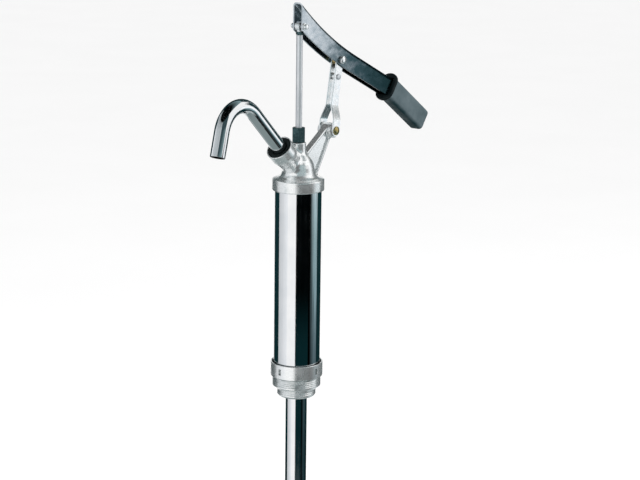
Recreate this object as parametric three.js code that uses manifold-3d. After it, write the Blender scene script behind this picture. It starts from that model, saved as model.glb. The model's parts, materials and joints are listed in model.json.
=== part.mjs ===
// Hand lever barrel pump, built as the separate pieces it would come apart into.
// Units are millimetres. Z runs up the pump's axis and Z = 0 is the plane that seats on the drum's bung.
// The lever works in the XZ plane: the handle points to +X and the spout to -X.

import * as THREE from "three";
import { mergeVertices } from "three/addons/utils/BufferGeometryUtils.js";
import Module from "manifold-3d";

const wasm = await Module();
wasm.setup();

// ---------- driving dimensions ----------

const GAP = 0.3; // clearance left between pieces that touch
const GASKET = 1; // thickness of the gaskets at both ends of the cylinder
const DEGREE = Math.PI / 180;

// Facets round a turned piece: large, middling and small diameters.
const LARGE = 32;
const MIDDLE = 20;
const SMALL = 14;

const TUBE = { outer: 28.575, inner: 27.075, bottom: 3.3, top: 239.5 }; // the pump cylinder, 2 1/4 inch tube
const CAP = { radius: 31.6, bottom: 232, top: 245.2 }; // the band of the head that grips the cylinder
const RING = { radius: 32.15, height: 17.4, lipDepth: 4, slotWidth: 4, slotHeight: 7, slotDepth: 1.1 };
const FOOT = {
  bigThread: 29.8, bigEnd: -12.5, smallThread: 23.9, smallStart: -17.8, smallEnd: -24,
  bottom: -26.3, endRadius: 22.3, seat: 14, port: 8, throat: 10.5,
};

const ROD = {
  radius: 4, threadRadius: 2.6, bottom: 108, shoulderBelow: 133.6, shoulderAbove: 418.2, top: 424.5,
};
const NECK = { radius: 9, top: 290, chamberRadius: 6.6, chamberBottom: 278 };
const GLAND = { flats: 15, bottom: NECK.top + GAP, top: 307.8, packing: 1.5, turn: 10 };

// The spout is shown swung a little round its socket's axis, towards -Y.
const SPOUT = {
  radius: 9, bore: 7.8, rise: 45, bend: 114.5, bendRadius: 36.6, entry: 64.614, exit: 30.9, inserted: 15.6,
  swing: 6.2,
};
const SOCKET = {
  mouthX: -36, mouthZ: 288, radius: 16.4, recess: 15, recessDepth: 10, tubeDepth: 18.6, length: 44.6,
};

const ROD_PIN = { x: 0, z: 428.5, radius: 2.4 }; // A: joins the rod's eye to the lever
const FULCRUM = { x: 71.4, z: 383.2, radius: 3.5 }; // B: joins the link to the lever
const LINK_PIVOT = { x: 57.5, z: 298, radius: 4 }; // C: joins the link to the bracket on the head
const BOSS = { radius: 9, half: 8.6 };
const ROD_EYE = { radius: 5.8, half: 3.4, shank: 4, shankBottom: 422.3, shankTop: 427, nutFlats: 8 };

const LEVER = {
  half: 7.4, sheet: 1.8, depth: 23.4, lowCurve: 531.5, topCurve: 445, slope: 25.5, bendX: 97.4,
  bendZ: 375.35, endX: -3.6,
};
const GRIP = { x: 172.85, z: 339.25, slope: 35, length: 89.5, height: 28, width: 20, corner: 5, wallEnd: 8 };
const COLLAR = { height: 38, width: 25, thickness: 5, corner: 11.5, hole: 0.6 };
const STRAP = {
  thick: 2, topInner: 2.9, bottomInner: 9.3, joggleLow: 13, joggleHigh: 31, topEye: 6.3, lowEye: 7,
};
const LINK_RIVET = { fromTop: 21, radius: 2.5, headRadius: 3.6 };

const OUTER_PIPE = { radius: 13.35, wall: 1.2, top: -8.3, bottom: -320 }; // 3/4 inch pipe
const MIDDLE_PIPE = { radius: 11.75, wall: 1, top: -45, bottom: -335.5 };
const INNER_PIPE = { radius: 10.35, wall: 1, top: -60, bottom: -349.5 };
const STRAINER = {
  radius: 12.2, bottom: -368, inlet: 7, slots: 4, slotWidth: 3, slotHeight: 8, slotMiddle: 3.5,
};

const PISTON = {
  radius: 26.3, bottom: 118, top: 123.9, ports: 6, portRadius: 3.2, portCircle: 15,
  nutFlats: 13, nutBottom: 110,
};
const CUP = { inner: 19.2, sheet: 2.2, lip: 2, top: 134, clampTop: 129 };
const VALVE_STOP = { radius: 12, bottom: 131 };
const PISTON_VALVE = { bore: 5.8, radius: 18.7, bottom: 124.2, top: 126.7 };
const FOOT_VALVE = { radius: 13, bottom: FOOT.seat + GAP, top: 16.8 };
const CAGE = {
  inner: 13.6, outer: 16.5, top: 25, roof: 2, hole: 7,
  windows: 4, windowWidth: 12, windowHeight: 5, windowMiddle: 19.2,
};

// ---------- geometry helpers ----------

// One closed body: shared vertices merged, collapsed triangles dropped, faces turned outwards.
function closed(geometry) {
  const bare = geometry.clone();
  bare.deleteAttribute("normal");
  bare.deleteAttribute("uv");
  const merged = mergeVertices(bare, 1e-4);
  const position = merged.attributes.position;
  const corners = [new THREE.Vector3(), new THREE.Vector3(), new THREE.Vector3()];
  const kept = [];
  let volume = 0;
  for (let i = 0; i < merged.index.count; i += 3) {
    const face = [merged.index.getX(i), merged.index.getX(i + 1), merged.index.getX(i + 2)];
    if (new Set(face).size < 3) continue;
    face.forEach((vertex, k) => corners[k].fromBufferAttribute(position, vertex));
    volume += corners[0].dot(corners[1].clone().cross(corners[2]));
    kept.push(face);
  }
  merged.setIndex(kept.flatMap((face) => (volume < 0 ? face.reverse() : face)));
  return merged;
}

function toManifold(geometry) {
  const body = closed(geometry);
  const vertProperties = new Float32Array(body.attributes.position.array);
  const triVerts = new Uint32Array(body.index.array);
  return new wasm.Manifold(new wasm.Mesh({ numProp: 3, vertProperties, triVerts }));
}

function fromManifold(manifold) {
  const mesh = manifold.getMesh();
  const geometry = new THREE.BufferGeometry();
  geometry.setAttribute("position", new THREE.BufferAttribute(new Float32Array(mesh.vertProperties), 3));
  geometry.setIndex(Array.from(mesh.triVerts));
  return geometry;
}

// The additions joined into one body, less the cuts.
function carved(additions, cuts = []) {
  let result = toManifold(additions[0]);
  for (const addition of additions.slice(1)) result = result.add(toManifold(addition));
  for (const cut of cuts) result = result.subtract(toManifold(cut));
  return fromManifold(result);
}

function common(first, second) {
  return fromManifold(toManifold(first).intersect(toManifold(second)));
}

// A profile of [radius, height] points turned about Z.
function turned(profile, segments = MIDDLE) {
  const points = profile.map(([radius, height]) => new THREE.Vector2(radius, height));
  return closed(new THREE.LatheGeometry(points, segments).rotateX(Math.PI / 2));
}

function ring(inner, outer, bottom, top, segments = MIDDLE) {
  return turned([[inner, bottom], [outer, bottom], [outer, top], [inner, top], [inner, bottom]], segments);
}

function rod(radius, bottom, top, segments = SMALL) {
  return turned([[0, bottom], [radius, bottom], [radius, top], [0, top]], segments);
}

// The same, turned about the Y direction through a point of the lever's plane.
function turnedAcross(profile, centre, segments = SMALL) {
  return turned(profile, segments).rotateX(-Math.PI / 2).translate(centre.x, 0, centre.z);
}

function rodAcross(radius, half, centre, segments = SMALL) {
  return turnedAcross([[0, -half], [radius, -half], [radius, half], [0, half]], centre, segments);
}

// A shape drawn in the XZ plane, extruded from -half to +half in Y.
function plate(shape, half, curveSegments = 6) {
  const settings = { depth: 2 * half, bevelEnabled: false, curveSegments };
  return new THREE.ExtrudeGeometry(shape, settings).translate(0, 0, -half).rotateX(Math.PI / 2);
}

function polygon(points) {
  return new THREE.Shape(points.map(([x, y]) => new THREE.Vector2(x, y)));
}

// A hexagon nut about Z; turn is the angle of a flat's normal from X.
function hexNut(flats, bore, bottom, top, turn = 0) {
  const corner = flats / Math.sqrt(3);
  const corners = Array.from({ length: 6 }, (_, k) => {
    const angle = turn + (k + 0.5) * 60 * DEGREE;
    return [corner * Math.cos(angle), corner * Math.sin(angle)];
  });
  const shape = polygon(corners);
  shape.holes.push(new THREE.Path().absarc(0, 0, bore, 0, 2 * Math.PI));
  const settings = { depth: top - bottom, bevelEnabled: false, curveSegments: SMALL / 2 };
  return new THREE.ExtrudeGeometry(shape, settings).translate(0, 0, bottom);
}

// A rectangle with round corners, centred on the origin.
function roundedRectangle(width, height, corner) {
  const x = width / 2 - corner;
  const y = height / 2 - corner;
  const shape = new THREE.Shape();
  shape.absarc(x, y, corner, 0, 90 * DEGREE);
  shape.absarc(-x, y, corner, 90 * DEGREE, 180 * DEGREE);
  shape.absarc(-x, -y, corner, 180 * DEGREE, 270 * DEGREE);
  shape.absarc(x, -y, corner, 270 * DEGREE, 360 * DEGREE);
  shape.closePath();
  return shape;
}

// ---------- finishes ----------

const FINISH = {
  chrome: { color: 0xd9dcde, roughness: 0.08, metalness: 1 },
  casting: { color: 0xb9bdbe, roughness: 0.42, metalness: 0.85 },
  steel: { color: 0xa7abad, roughness: 0.3, metalness: 1 },
  zinc: { color: 0xcfd6da, roughness: 0.28, metalness: 0.95 },
  yellowZinc: { color: 0xb59a55, roughness: 0.35, metalness: 0.9 },
  darkNut: { color: 0x4c5857, roughness: 0.45, metalness: 0.8 },
  brass: { color: 0xb8964a, roughness: 0.35, metalness: 0.95 },
  blackPaint: { color: 0x20272b, roughness: 0.22, metalness: 0.3 },
  gripPlastic: { color: 0x3c4448, roughness: 0.55, metalness: 0 },
  blackPlastic: { color: 0x0b0d0e, roughness: 0.4, metalness: 0 },
  rubber: { color: 0x151515, roughness: 0.8, metalness: 0 },
};

const pump = new THREE.Group();

function piece(name, finish, geometry) {
  const mesh = new THREE.Mesh(closed(geometry), new THREE.MeshStandardMaterial(FINISH[finish]));
  mesh.name = name;
  pump.add(mesh);
  return mesh;
}

// ---------- cylinder, foot and bung ring ----------

function addCylinder() {
  piece("cylinder_tube", "chrome", ring(TUBE.inner, TUBE.outer, TUBE.bottom, TUBE.top, LARGE));
  const above = TUBE.top + GAP;
  const below = TUBE.bottom - GAP;
  piece("head_gasket", "rubber", ring(TUBE.inner, TUBE.outer, above, above + GASKET, LARGE));
  piece("foot_gasket", "rubber", ring(TUBE.inner, TUBE.outer, below - GASKET, below, LARGE));
}

function addBungRing() {
  const wall = TUBE.outer + GAP;
  const lip = 30.4;
  const lipBottom = RING.height - RING.lipDepth;
  const shoulder = TUBE.bottom;
  const threadClearance = FOOT.bigThread + GAP;
  const body = turned([
    [threadClearance, 0], [RING.radius, 0], [RING.radius, RING.height], [lip, RING.height],
    [lip, lipBottom], [wall, lipBottom], [wall, shoulder], [threadClearance, shoulder], [threadClearance, 0],
  ], LARGE);
  const slotCuts = [0, 90, 180, 270].map((angle) =>
    new THREE.BoxGeometry(2 * RING.slotDepth, RING.slotWidth, RING.slotHeight)
      .translate(RING.radius, 0, RING.height / 2)
      .rotateZ(angle * DEGREE));
  piece("bung_ring", "casting", carved([body], slotCuts));
}

function addFootAdaptor() {
  const spigot = TUBE.inner - GAP;
  const step = TUBE.bottom - GASKET - 2 * GAP;
  const pipeBore = OUTER_PIPE.radius + GAP;
  const pipeStop = OUTER_PIPE.top + GAP;
  const portEnd = 4;
  const throatStart = 1;
  piece("bung_adaptor", "casting", turned([
    [pipeBore, FOOT.bottom], [FOOT.endRadius, FOOT.bottom], [FOOT.smallThread, FOOT.smallEnd],
    [FOOT.smallThread, FOOT.smallStart], [FOOT.bigThread, FOOT.bigEnd], [FOOT.bigThread, step],
    [spigot, step], [spigot, FOOT.seat], [FOOT.port, FOOT.seat], [FOOT.port, portEnd],
    [FOOT.throat, throatStart], [FOOT.throat, pipeStop], [pipeBore, pipeStop], [pipeBore, FOOT.bottom],
  ], LARGE));
}

function addFootValve() {
  const skirtTop = CAGE.top - CAGE.roof;
  const cage = turned([
    [CAGE.inner, FOOT_VALVE.bottom], [CAGE.outer, FOOT_VALVE.bottom], [CAGE.outer, CAGE.top],
    [CAGE.hole, CAGE.top], [CAGE.hole, skirtTop], [CAGE.inner, skirtTop], [CAGE.inner, FOOT_VALVE.bottom],
  ]);
  const windowCuts = Array.from({ length: CAGE.windows / 2 }, (_, k) =>
    new THREE.BoxGeometry(3 * CAGE.outer, CAGE.windowWidth, CAGE.windowHeight)
      .translate(0, 0, CAGE.windowMiddle)
      .rotateZ((k * 90 + 45) * DEGREE));
  piece("foot_valve_cage", "brass", carved([cage], windowCuts));
  piece("foot_valve_disc", "rubber", rod(FOOT_VALVE.radius, FOOT_VALVE.bottom, FOOT_VALVE.top));
}

// ---------- telescopic suction pipe ----------

function addSuctionPipes() {
  const pipe = (size) => ring(size.radius - size.wall, size.radius, size.bottom, size.top);
  piece("suction_pipe_outer", "chrome", pipe(OUTER_PIPE));
  piece("suction_pipe_middle", "chrome", pipe(MIDDLE_PIPE));
  piece("suction_pipe_inner", "chrome", pipe(INNER_PIPE));

  const collar = (outerPipe, innerPipe) => {
    const low = outerPipe.bottom - 5;
    const ledge = outerPipe.bottom - GAP;
    const top = outerPipe.bottom + 9;
    const bore = innerPipe.radius + GAP;
    const skirt = outerPipe.radius + GAP;
    const outside = outerPipe.radius + 1.8;
    return turned([
      [bore, low], [outside - 0.8, low], [outside, low + 1], [outside, top], [skirt, top], [skirt, ledge],
      [bore, ledge], [bore, low],
    ]);
  };
  piece("pipe_collar_upper", "blackPlastic", collar(OUTER_PIPE, MIDDLE_PIPE));
  piece("pipe_collar_lower", "blackPlastic", collar(MIDDLE_PIPE, INNER_PIPE));
}

function addStrainer() {
  const socket = INNER_PIPE.radius + GAP;
  const ledge = INNER_PIPE.bottom - GAP;
  const top = INNER_PIPE.bottom + 8;
  const cup = turned([
    [STRAINER.inlet, STRAINER.bottom], [STRAINER.radius - 1, STRAINER.bottom],
    [STRAINER.radius, STRAINER.bottom + 1], [STRAINER.radius, top], [socket, top], [socket, ledge],
    [STRAINER.inlet, ledge], [STRAINER.inlet, STRAINER.bottom],
  ]);
  const slotCuts = Array.from({ length: STRAINER.slots / 2 }, (_, k) =>
    new THREE.BoxGeometry(3 * STRAINER.radius, STRAINER.slotWidth, STRAINER.slotHeight)
      .translate(0, 0, STRAINER.bottom + STRAINER.slotMiddle)
      .rotateZ(k * 90 * DEGREE));
  piece("suction_strainer", "blackPlastic", carved([cup], slotCuts));
}

// ---------- head casting ----------

const socketFrame = new THREE.Matrix4()
  .makeTranslation(SOCKET.mouthX, 0, SOCKET.mouthZ)
  .multiply(new THREE.Matrix4().makeRotationY(-SPOUT.rise * DEGREE));

// The bracket's outline: two edges that run from the dome to the pivot boss.
function bracketShape(inset) {
  const topEdge = { x: 6, z: 272.5 };
  const lowEdge = { x: 30.8, z: 246 };
  const toBoss = Math.atan2(LINK_PIVOT.z - topEdge.z, LINK_PIVOT.x - topEdge.x);
  const reach = Math.hypot(LINK_PIVOT.x - topEdge.x, LINK_PIVOT.z - topEdge.z);
  const tangent = toBoss + Math.asin((BOSS.radius - inset) / reach) + 90 * DEGREE;
  const topJoin = [
    LINK_PIVOT.x + (BOSS.radius - inset) * Math.cos(tangent),
    LINK_PIVOT.z + (BOSS.radius - inset) * Math.sin(tangent),
  ];
  const lowJoin = [LINK_PIVOT.x + 2 - inset, LINK_PIVOT.z - 2];
  const rootZ = 248;
  return polygon([
    [topEdge.x, topEdge.z - 1.2 * inset], topJoin, lowJoin,
    [lowEdge.x - 1.2 * inset, lowEdge.z], [lowEdge.x - 8, lowEdge.z - 2], [topEdge.x, rootZ],
  ]);
}

function addHead() {
  const cap = turned([
    [0, CAP.bottom], [CAP.radius, CAP.bottom], [CAP.radius, CAP.top], [CAP.radius - 1, CAP.top + 1],
    [25.5, 247.6], [22, 250], [20, 253.5], [19.5, 259], [18.6, 264], [16.5, 269], [13, 273],
    [10.4, 275.4], [NECK.radius + 0.2, 278], [NECK.radius, NECK.top], [0, NECK.top],
  ], LARGE);
  const branch = turned([
    [0, -SOCKET.length], [9.5, -SOCKET.length], [12.6, -28.6], [13.9, -21.5], [15.6, -16],
    [SOCKET.radius, -11.5], [SOCKET.radius, -0.7], [SOCKET.radius - 0.6, 0], [0, 0],
  ], MIDDLE).applyMatrix4(socketFrame);
  const web = plate(bracketShape(0), 4.5);
  const boss = rodAcross(BOSS.radius, BOSS.half, LINK_PIVOT, MIDDLE);

  const gasketSeat = TUBE.top + GASKET + 2 * GAP;
  const cavity = turned([
    [0, CAP.bottom - 1], [TUBE.outer + GAP, CAP.bottom - 1], [TUBE.outer + GAP, gasketSeat],
    [24, gasketSeat], [24, 245], [16.5, 247], [16.5, 259], [12, 264.5], [5.5, 267.5],
    [ROD.radius + GAP, 268.5], [ROD.radius + GAP, NECK.chamberBottom],
    [NECK.chamberRadius, NECK.chamberBottom], [NECK.chamberRadius, NECK.top + 1], [0, NECK.top + 1],
  ], LARGE);
  const passage = turned([
    [0, -SOCKET.length], [7, -SOCKET.length], [7, -SOCKET.tubeDepth],
    [SPOUT.radius + GAP, -SOCKET.tubeDepth], [SPOUT.radius + GAP, -SOCKET.recessDepth],
    [SOCKET.recess, -SOCKET.recessDepth], [SOCKET.recess, 1], [0, 1],
  ], MIDDLE).applyMatrix4(socketFrame);
  const pocketDepth = 5;
  const pocketFloor = 2;
  const pockets = [-1, 1].map((side) =>
    plate(bracketShape(3), pocketDepth / 2).translate(0, side * (pocketFloor + pocketDepth / 2), 0));
  const ribbedWeb = carved([web], pockets);
  const pivotHole = rodAcross(LINK_PIVOT.radius + GAP, 2 * BOSS.half, LINK_PIVOT);
  piece("pump_head", "casting", carved([cap, branch, boss, ribbedWeb], [cavity, passage, pivotHole]));
}

function addGland() {
  const bore = ROD.radius + GAP;
  const spigot = NECK.chamberRadius - GAP;
  const lowerPacking = NECK.chamberBottom + GAP;
  const upperPacking = lowerPacking + GLAND.packing + GAP;
  const spigotBottom = upperPacking + GLAND.packing + GAP;
  const hex = hexNut(GLAND.flats, bore, GLAND.bottom, GLAND.top, GLAND.turn * DEGREE);
  const guide = ring(bore, spigot, spigotBottom, GLAND.bottom + 1, SMALL);
  const through = rod(bore, spigotBottom - 1, GLAND.top + 1);
  piece("gland_nut", "darkNut", carved([hex, guide], [through]));
  const packings = [["gland_packing_lower", lowerPacking], ["gland_packing_upper", upperPacking]];
  for (const [name, start] of packings) {
    piece(name, "rubber", ring(bore, spigot, start, start + GLAND.packing, SMALL));
  }
}

// ---------- spout ----------

// The spout's centreline: a straight entry, one round bend and a straight exit.
class SpoutLine extends THREE.Curve {
  constructor(bendSteps) {
    super();
    this.steps = bendSteps + 2;
  }

  at(t) {
    const along = t * this.steps;
    const entryLength = SPOUT.entry + SPOUT.inserted;
    const bendPart = THREE.MathUtils.clamp((along - 1) / (this.steps - 2), 0, 1);
    const entryPart = Math.min(along, 1);
    const exitPart = Math.max(along - (this.steps - 1), 0);
    const turn = bendPart * SPOUT.bend * DEGREE;
    // Local axes: w runs out of the socket and v is the side that the bend turns towards.
    const exit = exitPart * SPOUT.exit;
    const w = entryPart * entryLength + SPOUT.bendRadius * Math.sin(turn) + exit * Math.cos(turn);
    const v = SPOUT.bendRadius * (1 - Math.cos(turn)) + exit * Math.sin(turn);
    return { w: w - SPOUT.inserted, v, turn };
  }

  toSpace(w, v) {
    const rise = SPOUT.rise * DEGREE;
    const swing = SPOUT.swing * DEGREE;
    const inPlane = v * Math.cos(swing);
    return new THREE.Vector3(
      -w * Math.cos(rise) - inPlane * Math.sin(rise),
      -v * Math.sin(swing),
      w * Math.sin(rise) - inPlane * Math.cos(rise),
    );
  }

  getPoint(t) {
    const { w, v } = this.at(t);
    return this.toSpace(w, v).add(new THREE.Vector3(SOCKET.mouthX, 0, SOCKET.mouthZ));
  }

  getPointAt(t) {
    return this.getPoint(t);
  }

  getTangentAt(t) {
    const { turn } = this.at(t);
    return this.toSpace(Math.cos(turn), Math.sin(turn));
  }
}

function addSpout() {
  const bendSteps = 9;
  const section = new THREE.Shape().absarc(0, 0, SPOUT.radius, 0, 2 * Math.PI);
  section.holes.push(new THREE.Path().absarc(0, 0, SPOUT.bore, 0, 2 * Math.PI));
  const line = new SpoutLine(bendSteps);
  const settings = { steps: bendSteps + 2, extrudePath: line, curveSegments: 10, bevelEnabled: false };
  piece("spout_tube", "chrome", new THREE.ExtrudeGeometry(section, settings));

  const sealBottom = GAP - SOCKET.recessDepth;
  const seal = turned([
    [SPOUT.radius + GAP, sealBottom], [SOCKET.recess - GAP, sealBottom], [SOCKET.recess - GAP, -1.3],
    [SOCKET.recess - 1.2, -0.5], [SPOUT.radius + 1.2, -0.5], [SPOUT.radius + GAP, -1.3],
    [SPOUT.radius + GAP, sealBottom],
  ], MIDDLE);
  piece("spout_seal", "rubber", seal.applyMatrix4(socketFrame));
}

// ---------- rod and piston ----------

function addRod() {
  piece("piston_rod", "steel", turned([
    [0, ROD.bottom], [ROD.threadRadius, ROD.bottom], [ROD.threadRadius, ROD.shoulderBelow],
    [ROD.radius, ROD.shoulderBelow], [ROD.radius, ROD.shoulderAbove], [ROD.threadRadius, ROD.shoulderAbove],
    [ROD.threadRadius, ROD.top], [0, ROD.top],
  ], SMALL));
  const thread = ROD.threadRadius + GAP;
  const nutBottom = ROD.shoulderAbove + GAP;
  const nutTop = ROD_EYE.shankBottom - GAP;
  piece("rod_lock_nut", "darkNut", hexNut(ROD_EYE.nutFlats, thread, nutBottom, nutTop, 90 * DEGREE));
  const eye = rodAcross(ROD_EYE.radius, ROD_EYE.half, ROD_PIN, MIDDLE);
  const shank = rod(ROD_EYE.shank, ROD_EYE.shankBottom, ROD_EYE.shankTop);
  const pinHole = rodAcross(ROD_PIN.radius + GAP, 2 * ROD_EYE.half, ROD_PIN);
  const threadHole = rod(thread, ROD_EYE.shankBottom - 1, ROD.top + GAP);
  piece("rod_eye", "zinc", carved([eye, shank], [pinHole, threadHole]));
  piece("rod_cross_pin", "steel", rodAcross(ROD_PIN.radius, ROD_EYE.half + 1.4, ROD_PIN));
}

function addPiston() {
  const thread = ROD.threadRadius + GAP;
  const disc = ring(thread, PISTON.radius, PISTON.bottom, PISTON.top, LARGE);
  const portCuts = Array.from({ length: PISTON.ports }, (_, k) =>
    rod(PISTON.portRadius, PISTON.bottom - 1, PISTON.top + 1, 8)
      .translate(PISTON.portCircle, 0, 0)
      .rotateZ((k * 360 / PISTON.ports) * DEGREE));
  piece("piston_body", "brass", carved([disc], portCuts));
  piece("piston_nut", "steel", hexNut(PISTON.nutFlats, thread, PISTON.nutBottom, PISTON.bottom - GAP));

  const cupBottom = PISTON.top + GAP;
  const cupFloor = cupBottom + CUP.sheet;
  const cupOuter = TUBE.inner - GAP;
  const lipInner = cupOuter - CUP.lip;
  piece("piston_cup_seal", "rubber", turned([
    [CUP.inner, cupBottom], [cupOuter - 1, cupBottom], [cupOuter, cupBottom + 2], [cupOuter, CUP.top],
    [lipInner, CUP.top], [lipInner, cupFloor], [CUP.inner, cupFloor], [CUP.inner, cupBottom],
  ], MIDDLE));
  piece("cup_clamp_ring", "brass", ring(CUP.inner, lipInner - GAP, cupFloor + GAP, CUP.clampTop));

  const sleeveTop = VALVE_STOP.bottom;
  const stopTop = ROD.shoulderBelow - GAP;
  piece("piston_valve_disc", "rubber",
    ring(PISTON_VALVE.bore, PISTON_VALVE.radius, PISTON_VALVE.bottom, PISTON_VALVE.top));
  piece("valve_guide_sleeve", "brass", ring(thread, PISTON_VALVE.bore - GAP, cupBottom, sleeveTop, SMALL));
  piece("valve_stop_washer", "steel", ring(thread, VALVE_STOP.radius, sleeveTop + GAP, stopTop, SMALL));
}

// ---------- link ----------

const linkLength = Math.hypot(FULCRUM.x - LINK_PIVOT.x, FULCRUM.z - LINK_PIVOT.z);
const linkTilt = Math.atan2(FULCRUM.x - LINK_PIVOT.x, FULCRUM.z - LINK_PIVOT.z);

// Turns a piece drawn with the link's foot at the origin and its top straight up into its place.
function onLink(geometry) {
  return geometry.rotateY(linkTilt).translate(LINK_PIVOT.x, 0, LINK_PIVOT.z);
}

// One flat strap, set outwards at its foot so that the pair straddles the boss.
function linkStrap(side) {
  const outline = new THREE.Shape();
  const lean = Math.asin((STRAP.lowEye - STRAP.topEye) / linkLength);
  outline.absarc(0, 0, STRAP.lowEye, 180 * DEGREE - lean, 360 * DEGREE + lean);
  outline.absarc(0, linkLength, STRAP.topEye, lean, 180 * DEGREE - lean);
  outline.closePath();

  const below = -STRAP.lowEye - 1;
  const above = linkLength + STRAP.topEye + 1;
  const bottomOuter = STRAP.bottomInner + STRAP.thick;
  const topOuter = STRAP.topInner + STRAP.thick;
  const sheet = polygon([
    [STRAP.bottomInner, below], [bottomOuter, below], [bottomOuter, STRAP.joggleLow + 0.5],
    [topOuter, STRAP.joggleHigh + 0.5], [topOuter, above], [STRAP.topInner, above],
    [STRAP.topInner, STRAP.joggleHigh], [STRAP.bottomInner, STRAP.joggleLow],
  ]);
  const halfWidth = 10;
  const bentSheet = new THREE.ExtrudeGeometry(sheet, { depth: 2 * halfWidth, bevelEnabled: false })
    .translate(0, 0, -halfWidth)
    .rotateX(90 * DEGREE)
    .rotateZ(90 * DEGREE);
  if (side < 0) bentSheet.rotateZ(Math.PI);
  const blank = common(bentSheet, plate(outline, 15));
  const holes = [
    rodAcross(LINK_PIVOT.radius + GAP, 20, { x: 0, z: 0 }),
    rodAcross(FULCRUM.radius + GAP, 20, { x: 0, z: linkLength }),
    rodAcross(LINK_RIVET.radius + GAP, 20, { x: 0, z: linkLength - LINK_RIVET.fromTop }, 12),
  ];
  return onLink(carved([blank], holes));
}

function addLink() {
  piece("link_strap_near", "zinc", linkStrap(-1));
  piece("link_strap_far", "zinc", linkStrap(1));

  const insideHalf = STRAP.topInner - GAP;
  const outsideHalf = STRAP.topInner + STRAP.thick + GAP;
  const headEnd = outsideHalf + 1.5;
  const rivetPlace = { x: 0, z: linkLength - LINK_RIVET.fromTop };
  piece("link_rivet", "steel", onLink(turnedAcross([
    [0, -headEnd], [LINK_RIVET.headRadius - 0.9, -headEnd], [LINK_RIVET.headRadius, -headEnd + 0.7],
    [LINK_RIVET.headRadius, -outsideHalf], [LINK_RIVET.radius, -outsideHalf],
    [LINK_RIVET.radius, outsideHalf], [LINK_RIVET.headRadius, outsideHalf],
    [LINK_RIVET.headRadius, headEnd - 0.7], [LINK_RIVET.headRadius - 0.9, headEnd], [0, headEnd],
  ], rivetPlace, 12)));
  piece("link_spacer", "zinc", onLink(turnedAcross([
    [LINK_RIVET.radius + GAP, -insideHalf], [4.3, -insideHalf], [4.3, insideHalf],
    [LINK_RIVET.radius + GAP, insideHalf], [LINK_RIVET.radius + GAP, -insideHalf],
  ], rivetPlace, 12)));

  const strapFace = STRAP.bottomInner + STRAP.thick + GAP;
  piece("pivot_pin", "yellowZinc", turnedAcross([
    [0, -strapFace - 2], [3.4, -strapFace - 1.8], [5, -strapFace - 0.8], [5.4, -strapFace],
    [LINK_PIVOT.radius, -strapFace], [LINK_PIVOT.radius, strapFace + 2.4], [0, strapFace + 2.4],
  ], LINK_PIVOT));
  piece("pivot_clip", "steel", turnedAcross([
    [LINK_PIVOT.radius + GAP, strapFace], [6.8, strapFace], [6.8, strapFace + 1.2],
    [LINK_PIVOT.radius + GAP, strapFace + 1.2], [LINK_PIVOT.radius + GAP, strapFace],
  ], LINK_PIVOT));
}

// ---------- lever, its pins and the grip ----------

const leverDown = new THREE.Vector2(-Math.sin(LEVER.slope * DEGREE), -Math.cos(LEVER.slope * DEGREE));
const leverBend = new THREE.Vector2(LEVER.bendX, LEVER.bendZ);
const gripAlong = new THREE.Vector2(Math.cos(GRIP.slope * DEGREE), -Math.sin(GRIP.slope * DEGREE));
const gripDown = new THREE.Vector2(-Math.sin(GRIP.slope * DEGREE), -Math.cos(GRIP.slope * DEGREE));

// The lever's side between two lines at the given distances below its middle line (above if negative):
// curved from the open end to the bend, straight to the grip, then along the grip.
function leverShape(upper, lower, startX, tail) {
  const half = LEVER.depth / 2;
  const lowRadius = LEVER.lowCurve + lower - half;
  const topRadius = LEVER.topCurve + upper + half;
  const lowCentre = leverBend.clone().addScaledVector(leverDown, half - LEVER.lowCurve);
  const topCentre = leverBend.clone().addScaledVector(leverDown, -half - LEVER.topCurve);
  const startAngle = (centre, radius) => -Math.acos((startX - centre.x) / radius);
  const bendAngle = Math.atan2(leverDown.y, leverDown.x);
  const knee = new THREE.Vector2(GRIP.x, GRIP.z);
  const end = knee.clone().addScaledVector(gripAlong, tail);
  const corners = [
    knee.clone().addScaledVector(leverDown, lower), end.clone().addScaledVector(gripDown, lower),
    end.clone().addScaledVector(gripDown, upper), knee.clone().addScaledVector(leverDown, upper),
  ];
  const shape = new THREE.Shape();
  shape.absarc(lowCentre.x, lowCentre.y, lowRadius, startAngle(lowCentre, lowRadius), bendAngle);
  for (const corner of corners) shape.lineTo(corner.x, corner.y);
  shape.absarc(topCentre.x, topCentre.y, topRadius, bendAngle, startAngle(topCentre, topRadius), true);
  shape.closePath();
  return shape;
}

function addLever() {
  const half = LEVER.depth / 2;
  const tail = GRIP.length - GRIP.wallEnd;
  const outside = plate(leverShape(-half, half, LEVER.endX, tail), LEVER.half);
  const inside = plate(leverShape(LEVER.sheet - half, half + 6, LEVER.endX - 20, tail + 20),
    LEVER.half - LEVER.sheet);
  const holes = [
    rodAcross(ROD_PIN.radius + GAP, 20, ROD_PIN),
    rodAcross(FULCRUM.radius + GAP, 20, FULCRUM),
  ];
  piece("lever_channel", "blackPaint", carved([outside], [inside, ...holes]));
}

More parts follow.
